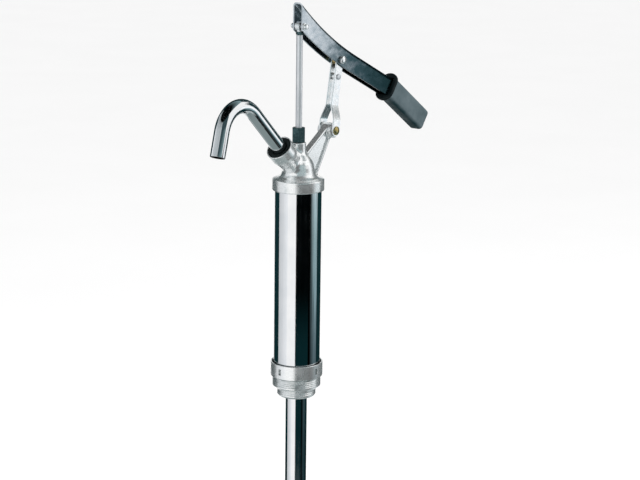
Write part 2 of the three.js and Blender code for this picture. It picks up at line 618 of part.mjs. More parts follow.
function addLeverPins() {
  const face = LEVER.half + GAP;
  const collar = face + 0.9;
  const end = face + 4.2;
  piece("fulcrum_pin", "zinc", turnedAcross([
    [0, -end], [3.8, -end], [5, -end + 1.2], [5, -face], [FULCRUM.radius, -face],
    [FULCRUM.radius, face], [5, face], [5, end - 1.2], [3.8, end], [0, end],
  ], FULCRUM));
  const bushHalf = STRAP.topInner - GAP;
  piece("fulcrum_bush", "brass", turnedAcross([
    [FULCRUM.radius + GAP, -bushHalf], [6, -bushHalf], [6, bushHalf], [FULCRUM.radius + GAP, bushHalf],
    [FULCRUM.radius + GAP, -bushHalf],
  ], FULCRUM));
  const stub = LEVER.half - LEVER.sheet + GAP;
  const head = [
    [0, stub], [ROD_PIN.radius, stub], [ROD_PIN.radius, face], [4.2, face], [4.2, collar],
    [3.1, collar], [3.1, end - 0.8], [2.3, end], [0, end],
  ];
  piece("rod_pin_head_far", "zinc", turnedAcross(head, ROD_PIN));
  const mirrored = head.map(([radius, height]) => [radius, -height]);
  piece("rod_pin_head_near", "zinc", turnedAcross(mirrored, ROD_PIN));
}

// Places a geometry drawn along Z, with Y across the lever, onto the grip's axis.
function onGrip(geometry, along) {
  return geometry
    .rotateY((90 + GRIP.slope) * DEGREE)
    .translate(GRIP.x + along * gripAlong.x, 0, GRIP.z + along * gripAlong.y);
}

function addGrip() {
  const clear = 0.35;
  const start = COLLAR.thickness / 2 + GAP;
  const sharp = 0.1;
  const solid = (width, height, corner, length) => new THREE.ExtrudeGeometry(
    roundedRectangle(height, width, corner), { depth: length, bevelEnabled: false, curveSegments: 3 });
  const outer = onGrip(solid(GRIP.width, GRIP.height, GRIP.corner, GRIP.length - start), start);
  const pocketWidth = 2 * (LEVER.half + clear);
  const pocketHeight = LEVER.depth + 2 * clear;
  const pocketEnd = GRIP.length - GRIP.wallEnd + 1;
  const pocket = onGrip(solid(pocketWidth, pocketHeight, sharp, pocketEnd), 0);
  piece("grip_sleeve", "gripPlastic", carved([outer], [pocket]));

  const flange = onGrip(solid(COLLAR.width, COLLAR.height, COLLAR.corner, COLLAR.thickness),
    -COLLAR.thickness / 2);
  const hole = onGrip(solid(pocketWidth, LEVER.depth + 2 * COLLAR.hole, sharp, 4 * COLLAR.thickness),
    -2 * COLLAR.thickness);
  piece("grip_collar", "blackPlastic", carved([flange], [hole]));
}

addCylinder();
addBungRing();
addFootAdaptor();
addFootValve();
addSuctionPipes();
addStrainer();
addHead();
addGland();
addSpout();
addRod();
addPiston();
addLink();
addLever();
addLeverPins();
addGrip();

export default pump;
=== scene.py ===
"""Hand lever barrel pump: the shown pieces and their materials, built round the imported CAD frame.

Shapes are drawn in millimetres in the row frame and scaled to metres when a piece is made.
Z runs up the pump's axis, the handle points to +X and the spout to -X.
"""

import json
from math import acos, asin, atan2, cos, degrees, pi, radians, sin, sqrt, tan

import bmesh
import bpy
import numpy as np
from mathutils import Matrix, Vector


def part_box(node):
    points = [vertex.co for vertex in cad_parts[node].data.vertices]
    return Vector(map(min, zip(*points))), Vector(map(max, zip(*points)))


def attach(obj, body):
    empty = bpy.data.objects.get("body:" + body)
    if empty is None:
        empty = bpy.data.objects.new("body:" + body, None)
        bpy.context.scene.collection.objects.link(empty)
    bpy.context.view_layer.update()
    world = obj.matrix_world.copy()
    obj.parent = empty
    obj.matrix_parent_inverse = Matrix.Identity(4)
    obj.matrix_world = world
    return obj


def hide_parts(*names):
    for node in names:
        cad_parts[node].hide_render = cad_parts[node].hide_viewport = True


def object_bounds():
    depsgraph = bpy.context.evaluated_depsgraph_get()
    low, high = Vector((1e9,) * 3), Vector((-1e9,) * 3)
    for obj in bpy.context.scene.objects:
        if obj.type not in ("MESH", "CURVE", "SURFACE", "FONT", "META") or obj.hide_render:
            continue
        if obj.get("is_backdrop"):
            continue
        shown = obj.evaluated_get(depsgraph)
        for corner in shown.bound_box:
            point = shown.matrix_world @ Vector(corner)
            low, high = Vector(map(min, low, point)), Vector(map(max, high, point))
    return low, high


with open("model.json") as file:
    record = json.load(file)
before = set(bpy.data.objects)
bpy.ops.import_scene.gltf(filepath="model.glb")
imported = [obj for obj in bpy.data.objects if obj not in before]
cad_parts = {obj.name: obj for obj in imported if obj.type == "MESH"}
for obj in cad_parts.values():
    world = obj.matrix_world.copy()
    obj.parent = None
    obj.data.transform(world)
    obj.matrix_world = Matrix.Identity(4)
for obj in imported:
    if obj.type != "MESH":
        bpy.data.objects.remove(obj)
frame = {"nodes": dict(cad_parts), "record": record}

cad_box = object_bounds()

MM = 0.001
FULL_TURN = 2 * pi
RECORD = frame["record"]
SLOT_OF = {row["node"]: row["material_slot"] for row in RECORD["subparts"]}
BODY_OF = {node: body for body, nodes in RECORD["behaviour"]["bodies"].items() for node in nodes}
JOINT = {joint["name"]: joint for joint in RECORD["behaviour"]["joints"]}


# --- sizes read from the frame ---

def low(node):
    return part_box(node)[0] / MM


def high(node):
    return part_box(node)[1] / MM


def heights(node):
    return low(node).z, high(node).z


def radius(node):
    """The outer radius of a CAD node that is turned about Z."""
    return high(node).x


def joint_place(name):
    return Vector(JOINT[name]["pos_m"]) / MM


LINK_PIVOT = joint_place("link_rock")
FULCRUM = joint_place("handle_swing")
SOCKET_MOUTH = joint_place("spout_swivel")
SOCKET_AXIS = Vector(JOINT["spout_swivel"]["axis"]).normalized()
ROD_PIN = (low("rod_cross_pin") + high("rod_cross_pin")) / 2
GAP = 0.3  # between pieces that touch
SHEET_EDGE = 0.35  # chamfer round pressed parts
PIVOT_BORE, FULCRUM_BORE, RIVET_BORE, ROD_PIN_BORE = 4.3, 3.8, 2.8, 2.7
ROD_PIN_RADIUS = 2.4
CUTTER_HALF = 20.0

# --- mesh tools ---


def spaced(start, end, count):
    """count values from start to end, both included."""
    return [start + (end - start) * k / (count - 1) for k in range(count)]


def rounded(points, size, steps=3, closed=True, gentlest=20):
    """The outline with each corner that turns by the gentlest angle or more, in degrees, made an arc."""
    outline = [Vector(p) for p in points]
    count = len(outline)
    result = []
    for i, corner in enumerate(outline):
        before = outline[i - 1] - corner
        after = outline[(i + 1) % count] - corner
        is_end = not closed and i in (0, count - 1)
        if is_end or 180 - degrees(before.angle(after)) < gentlest:
            result.append(corner)
            continue
        cut = min(size, 0.45 * before.length, 0.45 * after.length)
        first = corner + before.normalized() * cut
        last = corner + after.normalized() * cut
        for t in spaced(0, 1, steps + 1):
            result.append(first * (1 - t) ** 2 + corner * 2 * t * (1 - t) + last * t ** 2)
    return [tuple(p) for p in result]


def skin(rows, joined=False):
    """A bmesh whose rows of points (each a ring, or a single point) are joined one to the next."""
    mesh = bmesh.new()
    rings = [[mesh.verts.new(p) for p in row] for row in rows]
    pairs = list(zip(rings, rings[1:]))
    if joined:
        pairs.append((rings[-1], rings[0]))
    for first, second in pairs:
        count = max(len(first), len(second))
        for k in range(count):
            after = (k + 1) % count
            corners = [first[k % len(first)], first[after % len(first)],
                       second[after % len(second)], second[k % len(second)]]
            mesh.faces.new(list(dict.fromkeys(corners)))
    if not joined:
        for ring in (rings[0], rings[-1]):
            if len(ring) > 2:
                mesh.faces.new(ring)
    bmesh.ops.recalc_face_normals(mesh, faces=mesh.faces)
    return mesh


def full_circle(count):
    return [FULL_TURN * k / count for k in range(count)]


def lathe(profile, segments=96, joined=True):
    """A profile of (radius, height) turned about Z. Off the axis, both may be functions of the angle."""
    rows = []
    for point in profile:
        if point[0] == 0:
            rows.append([(0, 0, point[1])])
            continue
        ring = []
        for a in full_circle(segments):
            r, z = (value(a) if callable(value) else value for value in point)
            ring.append((r * cos(a), r * sin(a), z))
        rows.append(ring)
    return skin(rows, joined)


def tube(inner, outer, bottom, top, segments, edge=0.3):
    """A ring with rounded edges."""
    return lathe(rounded([(inner, bottom), (outer, bottom), (outer, top), (inner, top)], edge), segments)


def moved(mesh, matrix):
    bmesh.ops.transform(mesh, matrix=matrix, verts=mesh.verts)
    return mesh


def across(mesh, centre):
    """Turns a shape drawn about Z so that it lies along Y, through a point of the lever's plane."""
    turn = Matrix.Rotation(radians(-90), 4, "X")
    return moved(mesh, Matrix.Translation((centre.x, 0, centre.z)) @ turn)


def turned_pin(profile, centre, segments=48):
    """A solid pin along Y, from its profile of (radius, place along Y)."""
    return across(lathe(profile, segments, joined=False), centre)


def two_headed(head, shank, face):
    """A pin's profile: a shank with a head of (radius, height over the face) at both ends."""
    domed = [(r, face + h) for r, h in head]
    return [(r, -y) for r, y in reversed(domed)] + [(shank, -face), (shank, face)] + domed


def hex_nut(flats, bore, bottom, top, turn=0.0, spigot=None):
    """A chamfered hexagon nut about Z, with a round spigot (radius, length) under it if one is given."""
    apothem, edge = flats / 2, 0.4
    corner = flats / sqrt(3) * 0.985  # the corners are turned down a little
    flat = apothem * 0.96  # radius of the end faces
    chamfer_slope = tan(radians(30))

    def side(angle):
        part = (angle - turn + pi / 6) % (pi / 3) - pi / 6
        return min(apothem / cos(part), corner)

    def chamfer(angle):
        return (side(angle) - flat) * chamfer_slope

    profile = [
        (bore, top - edge), (bore + edge, top), (flat, top), (side, lambda a: top - chamfer(a)),
        (side, lambda a: bottom + chamfer(a)), (flat, bottom),
    ]
    if spigot:
        spigot_radius, spigot_length = spigot
        profile += [(spigot_radius, bottom), (spigot_radius, bottom - spigot_length),
                    (bore, bottom - spigot_length)]
    else:
        profile += [(bore + edge, bottom), (bore, bottom + edge)]
    return lathe(profile)


def cut_by(mesh, cutters):
    """The mesh less the cutters, by Blender's exact boolean."""
    target = loose_object("cut_target", mesh)
    tools = [loose_object("cutter", cutter) for cutter in cutters]
    for tool in tools:
        modifier = target.modifiers.new("cut", "BOOLEAN")
        modifier.operation = "DIFFERENCE"
        modifier.solver = "EXACT"
        modifier.object = tool
    bpy.context.view_layer.update()
    result = bmesh.new()
    result.from_object(target, bpy.context.evaluated_depsgraph_get())
    for item in [target, *tools]:
        bpy.data.objects.remove(item)
    return result


def loose_object(name, mesh):
    data = bpy.data.meshes.new(name)
    mesh.to_mesh(data)
    mesh.free()
    item = bpy.data.objects.new(name, data)
    bpy.context.scene.collection.objects.link(item)
    return item


def block(size, centre, turn=0.0):
    """A cutter for slots: a cuboid turned about Z."""
    mesh = bmesh.new()
    bmesh.ops.create_cube(mesh, size=1)
    place = Matrix.Translation(centre) @ Matrix.Diagonal((*size, 1))
    return moved(mesh, Matrix.Rotation(turn, 4, "Z") @ place)


def solid_pin(size, centre, half=CUTTER_HALF):
    return turned_pin([(0, -half), (size, -half), (size, half), (0, half)], centre)


def smooth(item, crease):
    """Smooth shading, with a sharp edge where faces meet at more than an angle in degrees."""
    item.data.polygons.foreach_set("use_smooth", [True] * len(item.data.polygons))
    item.data.set_sharp_from_angle(angle=radians(crease))


def show(name, mesh, node, crease=40, bevel=0.0):
    """Makes a piece in place of a CAD node, on its body and with its material slot."""
    bmesh.ops.scale(mesh, vec=(MM, MM, MM), verts=mesh.verts)
    item = loose_object(name, mesh)
    smooth(item, crease)
    if bevel:
        modifier = item.modifiers.new("edges", "BEVEL")
        modifier.width = bevel * MM
        modifier.segments = 2
        modifier.limit_method = "ANGLE"
        modifier.angle_limit = radians(50)
        modifier.harden_normals = True
    item.modifiers.new("flat_walls", "WEIGHTED_NORMAL").keep_sharp = True
    item.data.materials.append(FINISH[SLOT_OF[node]])
    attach(item, BODY_OF[node])
    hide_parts(node)
    return item


# --- distance fields, for castings with fillets ---


def outline_distance(points, x, y):
    """Signed distance from places (x, y) to a closed outline, negative inside."""
    nearest = np.full(x.shape, np.inf)
    inside = np.zeros(x.shape, bool)
    for (ax, ay), (bx, by) in zip(points, points[1:] + points[:1]):
        ex, ey = bx - ax, by - ay
        along = np.clip(((x - ax) * ex + (y - ay) * ey) / (ex * ex + ey * ey), 0, 1)
        nearest = np.minimum(nearest, (x - ax - along * ex) ** 2 + (y - ay - along * ey) ** 2)
        if ay != by:
            crosses = (ay > y) != (by > y)
            inside ^= crosses & (x < ax + (y - ay) / ey * ex)
    return np.sqrt(nearest) * np.where(inside, -1, 1)


def blended(first, second, size):
    """Union of two distance fields with a fillet."""
    share = np.clip(0.5 + 0.5 * (second - first) / size, 0, 1)
    return second + (first - second) * share - size * share * (1 - share)


def less(first, second, size):
    """First field less the second, with the edge rounded."""
    return -blended(-first, second, size)


def slab(outline, y, half, edge):
    """An outline's distance made a plate of a half thickness, with round edges."""
    a = outline + edge
    b = np.abs(y) - half + edge
    return np.sqrt(np.maximum(a, 0) ** 2 + np.maximum(b, 0) ** 2) + np.minimum(np.maximum(a, b), 0) - edge


def surface_of(field, lowest, highest, step):
    """The closed surface where a distance field is zero, as a bmesh: a surface net pulled onto the field."""
    axes = [np.arange(lowest[i], highest[i] + step, step) for i in range(3)]
    grid = np.stack(np.meshgrid(*axes, indexing="ij"), -1)
    coarse = 3  # the field is read on a coarse grid first, and closely only near the surface
    values = field(grid[::coarse, ::coarse, ::coarse])
    for axis in range(3):
        values = np.repeat(values, coarse, axis)
    values = values[:grid.shape[0], :grid.shape[1], :grid.shape[2]].copy()
    near = np.abs(values) < 2.5 * coarse * step
    values[near] = field(grid[near])

    cells = np.array(values.shape) - 1
    total = np.zeros((*cells, 3))
    count = np.zeros(cells)

    def cell_corners(place):
        return values[tuple(slice(start, start + size) for start, size in zip(place, cells))]

    for axis in range(3):
        for shift in ((0, 0), (0, 1), (1, 0), (1, 1)):
            start, end = np.insert(shift, axis, 0), np.insert(shift, axis, 1)
            first, second = cell_corners(start), cell_corners(end)
            crosses = (first < 0) != (second < 0)
            share = np.divide(first, first - second, out=np.zeros_like(first), where=crosses)
            for i in range(3):
                total[..., i] += np.where(crosses, share if i == axis else start[i], 0)
            count += crosses
    used = count > 0
    number = np.full(cells, -1)
    number[used] = np.arange(used.sum())
    points = np.array(lowest) + step * (np.argwhere(used) + total[used] / count[used][:, None])

    quads = []
    for axis in range(3):
        sides = [(axis + 1) % 3, (axis + 2) % 3]
        at = np.argwhere(np.diff(values < 0, axis=axis))
        at = at[((at[:, sides] > 0) & (at[:, sides] < cells[sides])).all(1)]
        corners = []
        for back in ((1, 1), (0, 1), (0, 0), (1, 0)):
            cell = at.copy()
            cell[:, sides] -= back
            corners.append(number[tuple(cell.T)])
        quads.append(np.stack(corners, 1))

    pulls, reach, least_slope = 3, 0.05, 0.2
    for _ in range(pulls):
        slope = np.stack([
            (field(points + reach * unit) - field(points - reach * unit)) / (2 * reach) for unit in np.eye(3)
        ], -1)
        push = field(points)[:, None] * slope / np.maximum((slope ** 2).sum(-1), least_slope)[:, None]
        points = points - np.clip(push, -step, step)

    data = bpy.data.meshes.new("net")
    data.from_pydata(points.tolist(), [], np.concatenate(quads).tolist())
    mesh = bmesh.new()
    mesh.from_mesh(data)
    bpy.data.meshes.remove(data)
    bmesh.ops.recalc_face_normals(mesh, faces=mesh.faces)
    return mesh


# --- materials ---


class Shader:
    """Small helpers to build a pattern of nodes, and to lead it into a material's or the world's surface."""

    def __init__(self, owner, surface="Principled BSDF", place="Object", **constants):
        owner.use_nodes = True
        self.material = owner
        self.tree = owner.node_tree
        self.surface = self.tree.nodes[surface]
        for socket, value in constants.items():
            self.surface.inputs[socket.replace("_", " ")].default_value = value
        coordinates = self.tree.nodes.new("ShaderNodeTexCoord")
        self.place = coordinates.outputs[place]
        self.normal = coordinates.outputs["Normal"]

    def node(self, kind, output, **inputs):
        """One output of a new node, whose inputs are linked to other outputs or set to values."""
        node = self.tree.nodes.new("ShaderNode" + kind)
        for name, value in inputs.items():
            socket = node.inputs[name.replace("_", " ")]
            if isinstance(value, bpy.types.NodeSocket):
                self.tree.links.new(value, socket)
            else:
                socket.default_value = value
        return node.outputs[output]

    def noise(self, scale, stretch=(1, 1, 1), detail=4):
        place = self.node("Mapping", "Vector", Vector=self.place, Scale=stretch)
        return self.node("TexNoise", "Fac", Vector=place, Scale=scale, Detail=detail, Roughness=0.55)

    def cells(self, scale):
        return self.node("TexVoronoi", "Distance", Vector=self.place, Scale=scale)

    def spread(self, source, start, end, out_low=0.0, out_high=1.0):
        return self.node("MapRange", "Result", Value=source, From_Min=start, From_Max=end,
                         To_Min=out_low, To_Max=out_high)

    def component(self, vector, axis):
        return self.node("SeparateXYZ", axis, Vector=vector)

    def openness(self, reach):
        """How open a place is to its surroundings within a distance in metres: low in slots and corners."""
        output = self.node("AmbientOcclusion", "AO", Distance=reach)
        output.node.samples = 8
        return output

    def combined(self, first, second, operation="MULTIPLY"):
        output = self.node("Math", "Value")
        output.node.operation = operation
        for source, socket in zip((first, second), output.node.inputs):
            self.tree.links.new(source, socket)
        return output

    def colour(self, share, *stops, socket="Base Color"):
        """Colours along a ramp: each stop is (position, (r, g, b))."""
        output = self.node("ValToRGB", "Color", Fac=share)
        elements = output.node.color_ramp.elements
        while len(elements) < len(stops):
            elements.new(0.5)
        for element, (position, rgb) in zip(elements, stops):
            element.position = position
            element.color = (*rgb, 1)
        self.lead(output, socket)

    def lead(self, output, socket):
        self.tree.links.new(output, self.surface.inputs[socket])

    def roughness(self, source, first, last, start=0.3, end=0.7):
        self.lead(self.spread(source, start, end, first, last), "Roughness")

    def relief(self, *layers):
        """Bumps laid over each other: each layer is (height, depth in mm)."""
        below = {}
        for height, depth in layers:
            bump = self.node("Bump", "Normal", Height=height, Strength=1, Distance=depth * MM, **below)
            below["Normal"] = bump
        self.lead(bump, "Normal")


FINISH = {}


def finish(metallic, **constants):
    """Makes a material with the pattern that a function draws, and keeps it under the function's name."""

    def build(draw):
        shader = Shader(bpy.data.materials.new(draw.__name__), Metallic=metallic, **constants)
        draw(shader)
        FINISH[draw.__name__] = shader.material
        return draw

    return build


@finish(1.0)
def chrome_tube(shader):
    """Bright plating on drawn tube: faint lines along the tube, hazy patches, a trace of waviness."""
    haze = shader.noise(34, detail=5)
    shader.colour(haze, (0.3, (0.8, 0.82, 0.835)), (0.7, (0.9, 0.905, 0.91)))
    lines = shader.noise(420, (1, 1, 0.02), detail=2)
    shader.roughness(shader.combined(haze, lines), 0.035, 0.13, 0.12, 0.42)
    shader.relief((shader.noise(26, (1, 1, 0.5), detail=1), 0.035), (lines, 0.0012))


@finish(0.84, Specular_IOR_Level=0.3)
def cast_metal(shader):
    """Tumbled light-alloy casting, half bright: fine grain, soft patches, painted shade in slots and corners.
    """
    patches, grain = shader.noise(70, detail=6), shader.noise(1500, detail=3)
    # Openness darkens the colour in slots and corners: painted shade laid over the random patches and grain.
    tone_and_painted_shade = shader.combined(shader.combined(patches, grain), shader.openness(0.004))
    shader.colour(tone_and_painted_shade, (0.03, (0.05, 0.07, 0.07)), (0.1, (0.62, 0.66, 0.66)), (0.17, (0.89, 0.91, 0.91)),
                  (0.35, (0.97, 0.98, 0.98)))
    shader.roughness(patches, 0.19, 0.31, 0.35, 0.65)
    shader.relief((shader.noise(160, detail=2), 0.015), (grain, 0.02))


@finish(0.75, Specular_IOR_Level=0.3)
def plain_steel(shader):
    """Drawn and ground bar: fine lines along Z."""
    lines = shader.noise(900, (1, 1, 0.03), detail=3)
    patches = shader.noise(50)
    shader.colour(patches, (0.3, (0.68, 0.71, 0.74)), (0.7, (0.8, 0.82, 0.84)))
    shader.roughness(lines, 0.34, 0.48)
    shader.relief((lines, 0.004))


@finish(0.9, Specular_IOR_Level=0.3)
def bright_zinc(shader):
    """Blue-white zinc plate on pressed steel, a little uneven."""
    patches = shader.noise(140, detail=5)
    shader.colour(patches, (0.3, (0.84, 0.91, 0.94)), (0.48, (0.94, 0.965, 0.97)), (0.7, (0.98, 0.98, 0.98)))
    shader.roughness(shader.noise(300), 0.17, 0.28)
    shader.relief((shader.noise(500, detail=2), 0.004), (patches, 0.012))


@finish(1.0)
def yellow_zinc(shader):
    """Yellow passivated plate, with brown and greenish drifts."""
    drift = shader.noise(260, detail=5)
    shader.colour(drift, (0.25, (0.34, 0.24, 0.1)), (0.5, (0.62, 0.49, 0.2)), (0.75, (0.55, 0.56, 0.36)))
    shader.roughness(shader.noise(700), 0.24, 0.42)
    shader.relief((shader.noise(900, detail=2), 0.012))


@finish(0.85)
def dark_nut(shader):
    """Blackened steel with an oily green-grey tone, brighter where a spanner rubs."""
    wear = shader.noise(420, detail=6)
    shader.colour(wear, (0.35, (0.045, 0.09, 0.098)), (0.62, (0.085, 0.15, 0.16)),
                  (0.8, (0.25, 0.31, 0.31)))
    shader.roughness(wear, 0.5, 0.3, 0.35, 0.7)
    shader.relief((shader.noise(1200, detail=3), 0.02))


@finish(1.0)
def brass_parts(shader):
    tool_marks = shader.noise(300, (0.1, 0.1, 1.0), detail=2)
    shader.colour(shader.noise(110), (0.3, (0.5, 0.35, 0.13)), (0.7, (0.76, 0.6, 0.29)))
    shader.roughness(tool_marks, 0.22, 0.4)
    shader.relief((tool_marks, 0.012))


@finish(1.0)
def black_paint(shader):
    """Dark metallic enamel on pressed steel, with a painted reflection: lighter towards the open end, bluish
    in patches.
    """
    bloom = shader.noise(75, (1, 1, 1.6), detail=7)
    # The colour is a painted reflection: light near the open end, dark along the lever, mottled into bluish
    # patches.
    painted_reflection = shader.spread(shader.component(shader.place, "X"), 0.0, 0.16, 0.1, 0.85)
    patchy_reflection = shader.spread(bloom, 0.3, 0.7, -0.17, 0.17)
    shader.colour(shader.combined(painted_reflection, patchy_reflection, "ADD"), (0.0, (0.8, 0.84, 0.87)), (0.22, (0.5, 0.56, 0.6)),
                  (0.42, (0.16, 0.21, 0.235)), (0.62, (0.04, 0.085, 0.1)), (0.85, (0.012, 0.045, 0.052)))
    shader.roughness(bloom, 0.3, 0.18)
    shader.relief((shader.noise(120, detail=1), 0.08), (shader.noise(520, detail=2), 0.02))


@finish(0.0, IOR=1.48, Specular_IOR_Level=0.12)
def grip_plastic(shader):
    """Moulded grip with a spark-eroded grain and rubbed, smoother patches, and painted shade on its
    underside.
    """
    rubbed = shader.noise(55, detail=5)
    # Faces turned downward are coloured darker: painted shade on the underside.
    painted_underside_shade = shader.spread(shader.component(shader.normal, "Z"), -0.85, -0.25, -0.45, 0.0)
    shader.colour(shader.combined(rubbed, painted_underside_shade, "ADD"), (0.0, (0.006, 0.03, 0.036)),
                  (0.3, (0.062, 0.088, 0.098)), (0.7, (0.105, 0.137, 0.15)))
    shader.roughness(rubbed, 0.58, 0.4, 0.35, 0.7)
    shader.relief((shader.cells(1400), 0.05), (shader.noise(90, detail=1), 0.08))


@finish(0.0, IOR=1.5, Specular_IOR_Level=0.1)
def black_plastic(shader):
    patches = shader.noise(80, detail=4)
    shader.colour(patches, (0.3, (0.003, 0.006, 0.007)), (0.7, (0.008, 0.013, 0.014)))
    shader.roughness(patches, 0.26, 0.42)
    shader.relief((shader.noise(700, detail=2), 0.02))


@finish(0.0, IOR=1.45, Specular_IOR_Level=0.1, Sheen_Weight=0.02)
def black_rubber(shader):
    """Moulded rubber with a dusty bloom."""
    dust = shader.noise(200, detail=6)
    shader.colour(dust, (0.3, (0.003, 0.006, 0.007)), (0.75, (0.012, 0.017, 0.018)))
    shader.roughness(dust, 0.55, 0.8)
    shader.relief((shader.noise(1500, detail=3), 0.03))


@finish(0.6)
def tube_bore(shader):
    """The inside of the spout, dull and near black: painted shade in the bore."""
    bore_mottle = shader.noise(120, detail=5)
    shader.colour(bore_mottle, (0.3, (0.004, 0.006, 0.006)), (0.7, (0.012, 0.016, 0.017)))
    shader.roughness(bore_mottle, 0.7, 0.5)
    shader.relief((bore_mottle, 0.03))


# --- camera and studio ---

CAMERA_DISTANCE = 2.030  # from the pump's axis, in metres
CAMERA_HEIGHT = 0.640
CAMERA_AZIMUTH = -50.0  # where the camera stands: 0 is in front, at -Y
CAMERA_YAW = 0.765  # turned right of the axis
CAMERA_PITCH = 13.042
CAMERA_ROLL = 0.72
SENSOR_WIDTH = 36.0
LENS = 96.525
FLOOR_RADIUS = 30.0
LIT_HEIGHT = 0.15  # where the lights point, on the axis
CARD_DISTANCE, HIGH_CARD_DISTANCE = 1.2, 1.25  # from the pump's axis, in metres
CARD_BOTTOM, HIGH_CARD_BOTTOM, CARD_TOP, CEILING_HEIGHT = -1.3, 0.5, 1.7, 1.65


def add_camera():
    data = bpy.data.cameras.new("camera")
    data.sensor_width = SENSOR_WIDTH
    data.lens = LENS
    camera = bpy.data.objects.new("camera", data)
    camera.matrix_world = (
        Matrix.Translation(around(0, CAMERA_DISTANCE, CAMERA_HEIGHT))
        @ Matrix.Rotation(radians(CAMERA_AZIMUTH - CAMERA_YAW), 4, "Z")
        @ Matrix.Rotation(radians(90 - CAMERA_PITCH), 4, "X")
        @ Matrix.Rotation(radians(CAMERA_ROLL), 4, "Z")
    )
    bpy.context.scene.collection.objects.link(camera)
    bpy.context.scene.camera = camera


def card_material(name, axis, start, end, *stops, mottled=0.0, fade=None):
    """A glowing card: colours along an axis from start to end, made uneven by mottled.

    With fade, two places along X, its glow grows from nothing at the first to full strength at the second.
    """
    shader = Shader(bpy.data.materials.new(name), Roughness=1.0, Specular_IOR_Level=0.0,
                    Base_Color=(0, 0, 0, 1))
    along = shader.component(shader.place, axis)
    shader.colour(shader.spread(along, start, end), *stops, socket="Emission Color")
    strength = shader.spread(shader.noise(8, detail=5), 0.35, 0.65, 1 - mottled, 1 + mottled)
    if fade:
        strength = shader.combined(strength, shader.spread(shader.component(shader.place, "X"), *fade))
    shader.lead(strength, "Emission Strength")
    return shader.material


@finish(0.0, Roughness=0.9, Specular_IOR_Level=0.2)
def floor_paper(shader):
    shader.colour(shader.noise(2.5, detail=3), (0.35, (0.925, 0.925, 0.925)), (0.65, (0.935, 0.935, 0.935)))


def around(azimuth, distance, height=0.0):
    """A place round the pump, by its angle from the camera's side: positive is to the camera's right."""
    angle = radians(CAMERA_AZIMUTH + azimuth)
    return Vector((sin(angle) * distance, -cos(angle) * distance, height))


def stage_object(name, mesh, material):
    item = loose_object(name, mesh)
    item.data.materials.append(material)
    item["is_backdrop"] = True
    return item


def add_disc(name, size, height, material):
    mesh = bmesh.new()
    bmesh.ops.create_circle(mesh, cap_ends=True, radius=size, segments=64)
    disc = stage_object(name, mesh, material)
    disc.location.z = height
    return disc


def add_card(name, angles, bottom, top, ramp, distance=CARD_DISTANCE, **unevenness):
    """A curved standing card round the pump from one angle to another, seen only in reflections."""
    mesh = bmesh.new()
    places = spaced(*angles, 12)
    lower, upper = ([mesh.verts.new(around(a, distance, height)) for a in places] for height in (bottom, top))
    for corners in zip(lower, lower[1:], upper[1:], upper):
        mesh.faces.new(corners)
    reflection_only(stage_object(name, mesh, card_material(name, *ramp, **unevenness)))


def reflection_only(item):
    item.visible_camera = False
    item.visible_diffuse = False
    item.visible_shadow = False
    item.visible_transmission = False


def add_softbox(name, azimuth, distance, height, size, power):
    data = bpy.data.lights.new(name, "AREA")
    data.shape = "RECTANGLE"
    data.size, data.size_y = size
    data.energy = power
    lamp = bpy.data.objects.new(name, data)
    lamp.location = around(azimuth, distance, height)
    aim = Vector((0, 0, LIT_HEIGHT)) - lamp.location
    lamp.rotation_euler = aim.to_track_quat("-Z", "Y").to_euler()
    lamp.visible_glossy = False
    bpy.context.scene.collection.objects.link(lamp)


def add_world():
    """White all round, growing dark well below the horizon."""
    world = bpy.data.worlds.new("studio")
    bpy.context.scene.world = world
    shader = Shader(world, "Background", "Generated")
    shader.colour(shader.spread(shader.component(shader.place, "Z"), -0.8, -0.55),
                  (0.0, (0.23, 0.28, 0.285)), (1.0, (1, 1, 1)), socket="Color")


